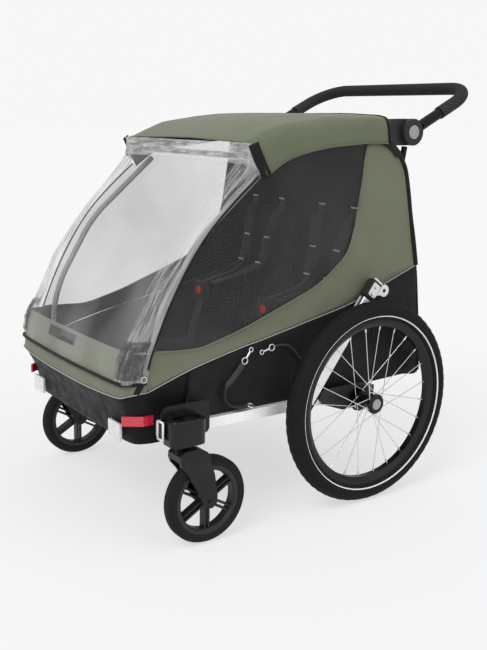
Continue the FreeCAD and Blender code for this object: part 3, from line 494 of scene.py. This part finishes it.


def make_stage():
    azimuth, pitch, roll = (math.radians(v) for v in CAMERA_TURN)
    ahead = Vector((-math.sin(azimuth) * math.cos(pitch), math.cos(azimuth) * math.cos(pitch),
                    -math.sin(pitch)))
    right = ahead.cross(Vector((0, 0, 1))).normalized()
    up = right.cross(ahead)
    right, up = (right * math.cos(roll) + up * math.sin(roll),
                 up * math.cos(roll) - right * math.sin(roll))
    data = bpy.data.cameras.new("camera")
    data.lens = CAMERA_LENS
    data.sensor_width = 36.0
    camera = bpy.data.objects.new("camera", data)
    bpy.context.scene.collection.objects.link(camera)
    turn = Matrix((right, up, -ahead)).transposed().to_4x4()
    camera.matrix_world = Matrix.Translation(at(*CAMERA_PLACE)) @ turn
    bpy.context.scene.camera = camera

    world = bpy.data.worlds.new("studio")
    world.use_nodes = True
    tree = world.node_tree
    background = tree.nodes["Background"]
    background.inputs["Color"].default_value = (1, 1, 1, 1)
    seen = node(tree, "ShaderNodeLightPath")
    level = node(tree, "ShaderNodeMapRange")
    level.inputs["To Min"].default_value = SKY_LIGHT
    level.inputs["To Max"].default_value = PAPER
    tree.links.new(seen.outputs["Is Camera Ray"], level.inputs["Value"])
    tree.links.new(level.outputs["Result"], background.inputs["Strength"])
    bpy.context.scene.world = world
    bpy.context.scene.view_settings.view_transform = "Standard"

    mesh = bpy.data.meshes.new("floor")
    mesh.from_pydata([(-60, -60, 0), (60, -60, 0), (60, 60, 0), (-60, 60, 0)], [], [(0, 1, 2, 3)])
    # The floor glows with emission GLOW on top of its colour FLOOR: painted light that keeps its
    # shadows faint and lights the trailer from below
    paint, tree, shader = new_material("floor_paper", (FLOOR, FLOOR, FLOOR), 1.0, **{
        "Specular IOR Level": 0.0, "Emission Color": (1, 1, 1, 1), "Emission Strength": GLOW})
    coords = node(tree, "ShaderNodeTexCoord")
    tint(tree, shader, (FLOOR, FLOOR, FLOOR), noise_at(tree, coords.outputs["Object"], 3.0), 0.006)
    floor = make_object("floor", mesh, paint)
    floor.location.z = -0.0005

    def sun(name, place, power, softness, colour=(1, 1, 1)):
        light = bpy.data.lights.new(name, "SUN")
        light.energy = power
        light.angle = math.radians(softness)
        light.color = colour
        lamp = bpy.data.objects.new(name, light)
        bpy.context.scene.collection.objects.link(lamp)
        lamp.rotation_mode = "QUATERNION"
        lamp.rotation_quaternion = (-Vector(place)).to_track_quat("-Z", "Y")

    sun("key", (0.9, -2.4, 2.8), 1.35, 32, (1, 0.99, 0.975))
    sun("fill", (2.6, 1.6, 3.0), 0.42, 50, (0.97, 0.985, 1))
    sun("top", (-0.8, 0.4, 3.0), 0.26, 60)
    sun("low", (3.0, 0.1, 0.5), 0.2, 60)


# ---- cloth cabin ----
PIPING = [(-581, 350), (-543, 363), (-495, 379), (-450, 392), (-344, 417), (-281, 429), (-145, 458),
          (-12, 488), (108, 532), (193, 563)]


def piping_z(y):
    for (y0, z0), (y1, z1) in zip(PIPING, PIPING[1:]):
        if y <= y1:
            return z0 + (z1 - z0) * (y - y0) / (y1 - y0)
    return PIPING[-1][1]


SILL = [(-567, 434), (-510, 432), (-450, 431), (-390, 445), (-331, 462), (-271, 484), (-200, 510),
        (-127, 540), (-74, 577), (-38, 611), (-19, 664), (-9, 716), (2, 786), (12, 862)]
REAR_EDGE = [(102, 850), (112, 843), (123, 831), (139, 802), (153, 753), (165, 690), (180, 628),
             (193, 564)]
FILM_EDGE = [(-579, 400), (-567, 438), (-535, 513), (-501, 578), (-462, 639), (-419, 692),
             (-361, 747), (-304, 795)]
FILM_TOP = [(-300, 820), (-312, 845), (-324, 866)]


def make_side_panel():
    """Coloured side cloth, ruled between the piping and the window's sill and rear edge."""
    high = [(-579, 399)] + SILL + [(42, 873), (78, 868)] + REAR_EDGE
    feet = [-580, -573, -515, -452, -392, -334, -276, -214, -152, -108, -72, -44, -22, 0, 22, 48,
            76, 96, 108, 122, 138, 154, 168, 181, 192.5]
    low = [(y, piping_z(y) + 1.0) for y in feet]

    def x_at(y, z, s):
        belly = math.sin(math.pi * min(1, max(0, s)))
        return 286.2 - 2.2 * belly + rumple(y, z, 0.012, 1.8) + rumple(y, z, 0.03, 0.8, 3)
    rows = pairs_to_rows(low, high, 18, 4, x_at)
    panel = sheet_mesh("side_cloth_left", rows, M["green"], 0.0016, M["lining"])
    trim = catmull([at(287.4, y, z) for y, z in SILL], 5)
    hem = tube_mesh("side_hem", trim, 0.0013, M["green"], 8)
    inner = [p + Vector((0.0002, 0.001, -0.006)) for p in trim]
    seam = stitches("side_stitch", inner, M["thread"])
    return panel, hem, seam


def make_side_window():
    """Lightly tinted film behind the side cloth, forward to the front cover's edge."""
    low = [(-572, 424), (-510, 426), (-450, 425), (-390, 439), (-331, 456), (-271, 478),
           (-200, 504), (-127, 534), (-68, 570), (-32, 606), (-12, 660), (-3, 714), (8, 785),
           (18, 866)]
    high = [(-569, 430), (-551, 474), (-520, 542), (-482, 608), (-441, 665), (-390, 720),
            (-330, 774), (-281, 816), (-240, 836), (-190, 852), (-130, 864), (-70, 872),
            (-20, 876), (18, 876)]
    rows = pairs_to_rows(low, high, 20, 5, lambda y, z, s: 284.6 + rumple(y, z, 0.009, 2.2, 7))
    return sheet_mesh("window_left", rows, M["window"], 0.0008)


def make_side_skirt():
    """Black lower side cloth, fuller round the cargo bag."""
    low = [(-478, 273), (-412, 272), (-346, 272), (-260, 271), (-190, 271), (-90, 271), (0, 272),
           (42, 275), (110, 278), (170, 280), (224, 281), (220, 364), (210, 445), (199, 532),
           (193, 561)]
    tops = [-478, -412, -346, -270, -210, -130, -60, -10, 50, 100, 134, 156, 172, 184, 192.5]
    high = [(y, piping_z(y) - 0.8) for y in tops]

    def x_at(y, z, s):
        full = max(0.0, min(1.0, (y - 40) / 120)) * math.sin(math.pi * min(1, max(0, s)))
        return 285.9 + 5.0 * full + rumple(y, z, 0.013, 2.0, 11) + rumple(y, z, 0.04, 0.8, 5)
    rows = pairs_to_rows(low, high, 14, 5, x_at)
    return sheet_mesh("skirt_left", rows, M["black"], 0.0016, M["lining"])


def front_rows(levels, steps_across=5, steps_up=5):
    """Grid round the front from the left side to the right; levels are half outlines."""
    lines = []
    for level in levels:
        half = [Vector(p) for p in level]
        full = half + [Vector((-p.x, p.y, p.z)) for p in half[-2::-1]]
        lines.append(catmull(full, steps_across))
    columns = [catmull([line[i] for line in lines], steps_up) for i in range(len(lines[0]))]
    return [[at(*column[r]) for column in columns] for r in range(len(columns[0]))]


TUB = [
    [(267, -478, 228), (267, -530, 227), (262, -570, 226), (238, -598, 227), (120, -603, 228),
     (0, -604, 228)],
    [(269, -478, 258), (269, -533, 258), (264, -576, 258), (240, -605, 258), (120, -611, 258),
     (0, -612, 258)],
    [(275, -478, 300), (274, -540, 296), (269, -583, 294), (244, -613, 293), (120, -621, 292),
     (0, -623, 292)],
    [(286.5, -478, 383), (287, -545, 362), (284, -600, 348), (251, -635, 339), (120, -641, 333),
     (0, -642, 332)],
]
BAND = [
    [(287, -581, 350), (284, -601, 348), (274, -621, 344), (251, -636, 339), (120, -642, 333),
     (0, -643, 332)],
    [(287, -579, 372), (285, -598, 370), (275, -618, 368), (252, -632, 367), (120, -639, 366),
     (0, -640, 366)],
    [(287, -577, 400), (285, -594, 401), (276, -612, 402), (253, -625, 402), (120, -632, 402),
     (0, -634, 402)],
    [(287, -568, 432), (285, -586, 433), (277, -602, 434), (255, -614, 435), (120, -621, 436),
     (0, -623, 437)],
]


def film_level(y_side, z_side, y_front, z_front):
    """Half outline of the front film from its side edge, round the corner, to the middle."""
    shape = [(288.2, 0.0), (286.6, 0.27), (277.5, 0.60), (254.5, 0.85), (120, 0.97), (0, 1.0)]
    return [(x, y_side + (y_front - y_side) * a, z_side + (z_front - z_side) * a)
            for x, a in shape]


FILM = [film_level(*edge, *front) for edge, front in zip(
    [(-582, 371), *FILM_EDGE, *FILM_TOP],
    [(-645, 370), (-638, 402), (-627, 438), (-586, 506), (-552, 572), (-511, 628), (-466, 682),
     (-405, 750), (-350, 816), (-342, 832), (-334, 852), (-330, 867)])]
FILM_BORDER = 26  # columns of the film's grid, from each side edge, that the hazy border takes


def make_front():
    tub = sheet_mesh("front_skirt", front_rows(TUB), M["tub"], 0.0018, M["lining"], True)
    band = sheet_mesh("front_band", front_rows(BAND), M["green"], 0.0016, M["lining"], True)
    rows = front_rows(FILM, 8, 6)
    for row in rows:
        for p in row:
            p.y += noise.noise(Vector((p.x * 9, p.z * 14, 2.3))) * 0.0025
            near_edge = max(0.0, (abs(p.x) - 0.2) / 0.088)
            along = p.y * 0.7 + p.z * 0.7
            crush = noise.noise(Vector((p.x * 60, (p.y - p.z) * 50, along * 9)))
            near_edge *= 0.6 + 1.6 * max(0.0, (0.46 - p.z) / 0.09)
            p.y -= crush * 0.0028 * near_edge
            p.x += math.copysign(crush * 0.0016 * near_edge, p.x)
    cover = sheet_mesh("front_film", rows, M["clear"], 0.0006, None, True)
    borders = []
    for name, pick in (("left", slice(0, FILM_BORDER)), ("right", slice(-FILM_BORDER, None))):
        strip = [[p + Vector((0, -0.0012, 0)) for p in row[pick]] for row in rows]
        borders.append(sheet_mesh("film_border_" + name, strip, M["clear_hem"], 0.0006, None, True))
    for name, pick in (("left", slice(5, 26)), ("right", slice(-26, -5))):
        bunch = []
        for r, row in enumerate(rows[2:15]):
            fold = math.sin(math.pi * r / 12)
            bunch.append([p + Vector((math.copysign(0.0012, p.x), -0.0022, 0)) * (1 + fold)
                          + Vector((0, noise.noise(p * 95) * -0.0035 * fold,
                                    noise.noise(p * 60) * 0.003 * fold)) for p in row[pick]])
        borders.append(sheet_mesh("film_bunch_" + name, bunch, M["bunch"], 0.0006, None, True))
    top = [[p + Vector((0, -0.001, 0.0004)) for p in row] for row in rows[-17:]]
    borders.append(sheet_mesh("film_top_hem", top, M["top_hem"], 0.0006, None, True))
    return tub, band, cover, borders


ROOF = [
    (-325, -282, 869, 796), (-308, -274, 877, 801), (-285, -258, 887, 812), (-255, -238, 898, 824),
    (-218, -209, 910, 837), (-160, -160, 920, 850), (-100, -100, 927, 859), (-40, -40, 931, 865),
    (25, 25, 932, 868), (56, 62, 932, 868), (68, 76, 931, 868),
]


def roof_line(y_top, y_low, top, bottom):
    """Half section of the roof sheet, from the flap's lower edge to the middle.

    Its shoulder is rounded at the front and squarer at the back.
    """
    drop = top - bottom
    square = max(0.0, min(1.0, (y_top + 140) / 190))
    shape = [(292.5, 0.0, 0.0), (292, 0.28, 0.4), (290.5, 0.52, 0.72), (284, 0.76, 0.9),
             (270, 0.91, 0.97), (246, 0.985, 1.0), (150, 1.02, 1.02), (0, 1.04, 1.03)]
    heights = [(x, h + (h2 - h) * square) for x, h, h2 in shape]
    return [(x, y_low + (y_top - y_low) * min(1, h), bottom + drop * h) for x, h in heights]


def make_roof():
    rows = front_rows([roof_line(*station) for station in ROOF], 4, 5)
    for row in rows:
        for p in row:
            p.z += noise.noise(Vector((p.x * 7, p.y * 13, 1.7))) * 0.0022
            p.z += noise.noise(Vector((p.x * 24, p.y * 30, 4.2))) * 0.0007
    return sheet_mesh("roof_cloth", rows, M["roof"], 0.0018, M["lining"], True), rows


def make_rear():
    """Black back of the bag, narrower between the frame's uprights, and the yoke above it."""
    profile = [(218, 281), (225, 284), (221, 364), (211, 445), (200, 532)] + REAR_EDGE[:0:-1]
    line = catmull([(y, z, 0) for y, z in profile], 4)
    rows = []
    for p in line:
        narrow = max(0.0, min(1.0, (p.y - 778) / 22))
        half = 287 - 24 * narrow
        row = []
        for i in range(41):
            x = half * (i / 20 - 1)
            full = math.cos(math.pi * x / 574 * 0.96) * 7.0
            y = p.x + full * 0.5 + rumple(x, p.y, 0.01, 4.0, 21) - 2
            row.append(at(x, y, p.y))
        rows.append(row)
    yoke_line = catmull([(112, 815, 0), (107, 843, 0), (96, 872, 0), (80, 902, 0), (64, 923, 0)], 5)
    yoke = [[at(x, p.x, p.y + (225 - abs(x)) * 0.01) for x in range(-225, 226, 25)]
            for p in yoke_line]
    return (sheet_mesh("rear_cloth", rows, M["black"], 0.0016, M["mesh"], True),
            sheet_mesh("rear_yoke", yoke, M["black"], 0.0014, M["mesh"], True))


def binding(name, points, radius, material, flat=0.45, axis=(1, 0, 0), steps=5):
    return tube_mesh(name, catmull(points, steps), radius, material, 10, flat, axis)


def make_cabin():
    panel, hem, seam = make_side_panel()
    for obj, name in ((hem, "side_hem_right"), (seam, "side_stitch_right")):
        crumples(mirror_copy(obj, name))
        crumples(obj)
    sides = ["front_struts", "rear_uprights"]
    for obj, name, cad, holder in ((panel, "side_cloth_right", "side_panels", sides),
                                   (make_side_window(), "window_right", "side_windows", sides),
                                   (make_side_skirt(), "skirt_right", "side_skirts",
                                    ["side_rails", "rear_uprights"])):
        other = mirror_copy(obj, name)
        for sheet in (crumples(obj), crumples(other)):
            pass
        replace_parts(obj, cad)
    tub, band, cover, borders = make_front()
    roof, rows = make_roof()
    wall, yoke = make_rear()
    for obj, cad, holder in ((band, "front_panel", ["front_struts"]),
                             (cover, "front_cover", ["front_struts", "roof_front_bar"]),
                             (tub, "tub_front", ["floor_boards"]),
                             (roof, "roof_canopy", ["roof_tubes", "roof_front_bar"]),
                             (wall, "rear_wall_lower", ["rear_uprights", "side_rails"]),
                             (yoke, "rear_wall_upper", ["rear_uprights"])):
        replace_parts(crumples(obj), cad)
    for piece in borders + make_trims(rows):
        crumples(piece)


def make_trims(roof_rows):
    """Piping, bindings, hems and small straps sewn on the cabin's edges."""
    front_pipe = [at(x, y - 1.5, z) for x, y, z in BAND[0]]
    front_pipe += [Vector((-p.x, p.y, p.z)) for p in front_pipe[-2::-1]]
    pieces = [tube_mesh("piping_front", catmull(front_pipe, 5), 0.0012, M["piping"])]
    edge = [p + Vector((0, -0.001, 0.001)) for p in roof_rows[0]]
    pieces.append(binding("roof_front_binding", edge, 0.0022, M["roof"], 0.7, (0, -0.6, 0.8), 1))
    edge = [p + Vector((0, 0.001, 0)) for p in roof_rows[-1]]
    pieces.append(binding("roof_rear_binding", edge, 0.005, M["binding"], 0.6, (0, 0, 1), 1))
    film_low = [at(x, y - 1.5, z) for x, y, z in FILM[0]]
    hem_line = film_low + [Vector((-p.x, p.y, p.z)) for p in film_low[-2::-1]]
    pieces.append(binding("film_hem", hem_line, 0.0042, M["binding"], 0.5, (0, -0.9, 0.1)))
    zip_back = [at(x, 199.5 + 4 * math.cos(math.pi * x / 600), 566) for x in range(-276, 277, 46)]
    pieces.append(ribbon("bag_zip", catmull(zip_back, 3), 0.018, 0.0022, (0, 1, 0), M["binding"]))
    above = [p + Vector((0, 0.0016, 0.0125)) for p in zip_back]
    pieces.append(stitches("bag_zip_stitch", above, M["tag"]))
    patch = [at(x, -632.6 + abs(x + 32) * 0.006, 418) for x in range(-102, 39, 20)]
    pieces.append(ribbon("front_patch", patch, 0.024, 0.0012, (0, -0.95, 0.3), M["black"]))
    for name, sign in SIDES:
        edge = [at(sign * 288.8, y, z) for y, z in FILM_EDGE]
        pieces.append(binding("film_edge_" + name, edge, 0.0024, M["binding"], 0.6, (sign, 0, 0)))
        corner = [at(sign * 292.4, y, z) for y, z in ((-322, 866), (-305, 832), (-283, 794))]
        pieces.append(ribbon("corner_strap_" + name, catmull(corner, 4), 0.024, 0.0022,
                             (sign, -0.5, 0), M["binding"]))
        side = catmull([at(sign * 288.2, y, z) for y, z in PIPING], 4)
        pieces.append(tube_mesh("piping_" + name, side, 0.0012, M["piping"]))
        edge = [at(sign * 287.0, y + 2.5 + rumple(y, z, 0.05, 3.0, 31), z) for y, z in REAR_EDGE]
        pieces.append(binding("rear_binding_" + name, edge, 0.0058, M["binding"], 0.7,
                              (sign, 0, 0)))
        bag = [at(sign * 287.4, y, z) for y, z in ((193, 564), (199, 532), (210, 445), (220, 364),
                                                  (225, 284))]
        pieces.append(binding("bag_binding_" + name, bag, 0.0035, M["binding"], 0.6, (sign, 0, 0)))
        flap = [Vector((sign * abs(row[0].x), row[0].y, row[0].z)) for row in roof_rows]
        pieces.append(tube_mesh("flap_hem_" + name, flap, 0.0014, M["roof"]))
        fold = [p + Vector((sign * 0.0008, 0, 0.008)) for p in flap]
        pieces.append(stitches("flap_stitch_" + name, fold, M["thread"]))
        zip_line = [at(sign * x, y, z) for x, y, z in ((281.5, -608, 346), (285.5, -600, 360),
                                                      (287.6, -592, 376))]
        pieces.append(ribbon("corner_zip_" + name, catmull(zip_line, 4), 0.013, 0.0016,
                             (sign, -0.6, 0), M["binding"]))
        ring = lathe("corner_ring_" + name, [(0.0055, -0.001), (0.0075, -0.001), (0.0075, 0.001),
                                            (0.0055, 0.001), (0.0055, -0.001)],
                     at(sign * 290.4, -590, 380), M["steel"], 24)
        pieces.append(ring)
        tab = [at(sign * 290.5, y, z) for y, z in ((62, 872), (84, 862), (100, 850), (114, 838))]
        pieces.append(ribbon("corner_tab_" + name, catmull(tab, 4), 0.019, 0.003, (sign, 0, 0),
                             M["webbing"]))
    return pieces


# ---- seats and harness ----
def pad_mesh(name, size, place, lean, material):
    """Closed rounded block, ready to be swollen into a pad."""
    mesh = bpy.data.meshes.new(name)
    work = bmesh.new()
    bmesh.ops.create_cube(work, size=1.0)
    bmesh.ops.scale(work, vec=size, verts=work.verts)
    bmesh.ops.subdivide_edges(work, edges=work.edges, cuts=7, use_grid_fill=True)
    bmesh.ops.rotate(work, cent=(0, 0, 0), matrix=Matrix.Rotation(lean, 3, "X"),
                     verts=work.verts)
    bmesh.ops.translate(work, vec=place, verts=work.verts)
    work.to_mesh(mesh)
    work.free()
    return make_object(name, mesh, material)


VOXEL, QUICK_VOXEL = 0.0065, 0.012
PRESSURE = 4.0
CLOTH_FRAMES = 18
PUFF = 0.010  # furthest that a point may move, in metres


def swell(obj):
    """Pressure cloth on a remeshed copy, capped, then one subdivision."""
    scene = bpy.context.scene
    bpy.context.view_layer.objects.active = obj
    remesh = obj.modifiers.new("remesh", "REMESH")
    remesh.mode = "VOXEL"
    remesh.voxel_size = VOXEL
    bpy.ops.object.modifier_apply(modifier="remesh")
    rest = [v.co.copy() for v in obj.data.vertices]
    wear = obj.modifiers.new("cloth", "CLOTH")
    wear.settings.use_pressure = True
    wear.settings.uniform_pressure_force = PRESSURE
    wear.settings.effector_weights.gravity = 0.0
    for number in range(1, CLOTH_FRAMES + 1):
        scene.frame_set(number)
    bpy.ops.object.modifier_apply(modifier="cloth")
    scene.frame_set(1)
    for vertex, start in zip(obj.data.vertices, rest):
        move = vertex.co - start
        if move.length > PUFF:
            vertex.co = start + move * (PUFF / move.length)
    for polygon in obj.data.polygons:
        polygon.use_smooth = True
    more = obj.modifiers.new("smooth", "SUBSURF")
    more.levels = more.render_levels = 1
    return obj


def make_seats():
    cushion = pad_mesh("cushion_left", (0.228, 0.262, 0.030), at(130, -156, 296), 0, M["seat"])
    back = pad_mesh("backrest_left", (0.228, 0.018, 0.364), at(131, 47, 515),
                    math.radians(-8.6), M["seat"])
    for obj in (cushion, back):
        swell(obj)
    for obj, side in ((mirror_copy(cushion, "cushion_right"), 0),
                      (mirror_copy(back, "backrest_right"), 1), (cushion, 0), (back, 1)):
        if side:
            crumples(obj)
        else:
            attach(obj, "chassis")
    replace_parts(cushion, "seat_cushions")
    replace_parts(back, "seat_backs")


SEAT_X = 148.0


def make_harness():
    """Shoulder and crotch straps with pads and pale tags."""
    made = []
    for name, sign in SIDES:
        seat = sign * SEAT_X
        for k, dx in enumerate((-62, 62)):
            top, low = seat + dx, seat + dx * 0.75
            line = catmull([at(top, 56, 706), at(top, 40, 668), at(low, 18, 600),
                            at(low, 6, 545), at(low * 0.55 + seat * 0.45, -44, 508),
                            at(seat + dx * 0.3, -150, 484)], 6)
            made.append(ribbon("shoulder_strap_%s_%d" % (name, k), line, 0.026, 0.0022,
                               (0, -1, 0.35), M["strap"]))
            pad = [p + Vector((0, -0.004, 0.001)) for p in line[5:20]]
            made.append(ribbon("shoulder_pad_%s_%d" % (name, k), pad, 0.044, 0.010,
                               (0, -1, 0.2), M["pad"]))
            for place in (0, 12, 20):
                tag = [line[place] + Vector((0, -0.0085, 0.003)),
                       line[place] + Vector((0, -0.0090, -0.001))]
                made.append(ribbon("strap_tag_%s_%d" % (name, k), tag, 0.024, 0.0016,
                                   (0, -1, 0.2), M["tag"]))
        crotch = catmull([at(seat, -204, 316), at(seat, -200, 360), at(seat, -184, 410),
                          at(seat, -172, 440)], 5)
        made.append(ribbon("crotch_strap_" + name, crotch, 0.03, 0.003, (0, -1, 0), M["strap"]))
    straps = joined("harness_webbing", made)
    crumples(straps)
    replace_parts(straps, "harness_straps")


# ---- wheels ----
WHEEL_X, AXLE_Z = 348, 250
TYRE_SECTION = 0.0232  # radius of the tyre's round section, in metres
TYRE_RING = 0.2265     # radius of the ring that the section runs round


def make_tyre(name, sign):
    """Tyre with a low-block tread and a moulded bead line, replacing the plain CAD ring."""
    centre = at(sign * WHEEL_X, 0, AXLE_Z)
    segments, around = 240, 36
    rows = []
    for s in range(segments):
        turn = math.tau * s / segments
        row = []
        for k in range(around + 1):
            phi = math.radians(-152 + 304 * k / around)
            radius = TYRE_SECTION
            zone = abs(math.degrees(phi))
            if zone < 52:
                block = (s + (2 if phi > 0 else 0) + int(zone / 12)) % 4
                radius += 0.0003 if block < 2 else -0.0005
                if abs(zone - 26) < 5:
                    radius -= 0.0007
            elif zone < 66:
                radius += -0.0004 if s % 2 else 0.0002
            elif 96 < zone < 104:
                radius += 0.0004
            r = TYRE_RING + radius * math.cos(phi)
            x = radius * math.sin(phi)
            row.append(centre + Vector((x, r * math.sin(turn), r * math.cos(turn))))
        rows.append(row + row[:1])
    tyre = sheet_mesh("tyre_rubber_" + name, rows, M["tyre"], closed=True)
    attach(tyre, "wheel_" + name)
    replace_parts(tyre, "tyre_" + name)
    for side in (-1, 1):
        ring = lathe("tyre_line_%s_%d" % (name, side + 1),
                     [(0.2144, side * 0.0196), (0.2156, side * 0.0218), (0.2172, side * 0.0222)],
                     centre, M["tag"], 120)
        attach(ring, "wheel_" + name)
    stem_line = [centre + Vector((0, 0, 0.199)), centre + Vector((0, 0, 0.160))]
    stem = tube_mesh("valve_" + name, stem_line, 0.003, M["tyre"], 10)
    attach(stem, "wheel_" + name)


# ---- cords and straps ----
STRAP = [(-330, 281), (-362, 280), (-390, 301), (-389, 336), (-362, 358), (-343, 381)]
TETHER = [(-252, 411), (-224, 414), (-198, 397), (-172, 366), (-140, 342), (-104, 345), (-72, 372),
          (-48, 408), (-20, 444), (-8, 466)]


def spline(name, x, route, radius, material):
    data = bpy.data.curves.new(name, "CURVE")
    data.dimensions = "3D"
    data.resolution_u = 12
    line = data.splines.new("NURBS")
    line.points.add(len(route) - 1)
    for point, (y, z) in zip(line.points, route):
        point.co = (*at(x, y, z), 1)
    line.order_u = 3
    line.use_endpoint_u = True
    data.bevel_depth = radius
    data.bevel_resolution = 4
    obj = bpy.data.objects.new(name, data)
    bpy.context.scene.collection.objects.link(obj)
    data.materials.append(material)
    return obj


def make_straps():
    """Flat safety strap, read from its route's spline, and the round tether."""
    route = spline("strap_route", 297.6, STRAP, 0, M["webbing"])
    read = bpy.data.meshes.new_from_object(route)
    line = [v.co.copy() for v in read.vertices]
    bpy.data.objects.remove(route)
    strap = ribbon("safety_webbing", line, 0.012, 0.0028, (0.25, 0.5, 0.8), M["strap"])
    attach(strap, "chassis")
    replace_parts(strap, "safety_strap")
    tether = spline("tether", 294.6, TETHER, 0.0025, M["strap"])
    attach(tether, "chassis")
    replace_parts(tether, "tether_cord")


def make_socket_rims():
    """Pale square rim round the front socket of each caster mount, and a black strip set just
    inside it: painted shade for the dark inside of the open socket.
    """
    for name, sign in SIDES:
        outer = [(300, 249), (322, 249), (322, 289), (300, 289)]
        parts = []
        for (x0, z0), (x1, z1) in zip(outer, outer[1:] + outer[:1]):
            line = [at(sign * x0, -563, z0), at(sign * x1, -563, z1)]
            parts.append(tube_mesh("rim_side", line, 0.0026, M["silver"], 8))
        # The black strip behind the rim is painted shade for the dark inside of the open socket
        mouth = [at(sign * 311, -561.5, 252), at(sign * 311, -561.5, 286)]
        parts.append(ribbon("mouth", mouth, 0.02, 0.003, (0, 1, 0), M["board"]))
        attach(joined("socket_rim_" + name, parts), "chassis")


# ---- carried-over CAD nodes ----
CAD_LOOKS = {
    "side_rails": "alu", "cross_tubes": "alu", "rail_brackets": "plastic",
    "frame_hinges": "black_metal", "caster_mounts": "gloss", "floor_boards": "board",
    "harness_buckles": "plastic", "reflectors_white": "white_lens", "reflectors_red": "red_lens",
    "strap_hardware": "steel", "rear_uprights": "black_tube", "handle_housings": "plastic",
    "roof_tubes": "black_tube", "roof_front_bar": "black_tube", "front_struts": "sleeve",
    "handle_tube": "black_tube", "handle_grip": "foam", "handle_hubs": "plastic",
    "brake_pedal": "plastic", "tow_arm": "alu", "coupler_body": "plastic", "hitch_eye": "steel",
    "handle_button": "grey", "wheel_button": "grey", "rim": "rim", "spokes": "spoke",
    "hub": "black_metal", "caster_tyre": "tyre", "caster_wheel": "plastic",
    "caster_fork": "gloss", "caster_button": "gloss", "brake_pin": "steel",
    "buckle_button": "red",
}


def dress_cad():
    for name, obj in NODES.items():
        key = name.replace("_left", "").replace("_right", "")
        if key not in CAD_LOOKS or obj.hide_render:
            continue
        if not obj.material_slots:
            obj.data.materials.append(M[CAD_LOOKS[key]])
        for place in obj.material_slots:
            place.material = M[CAD_LOOKS[key]]


make_stage()
make_straps()
make_socket_rims()
make_cabin()
make_seats()
make_harness()
for wheel_side, wheel_sign in SIDES:
    make_tyre(wheel_side, wheel_sign)
dress_cad()
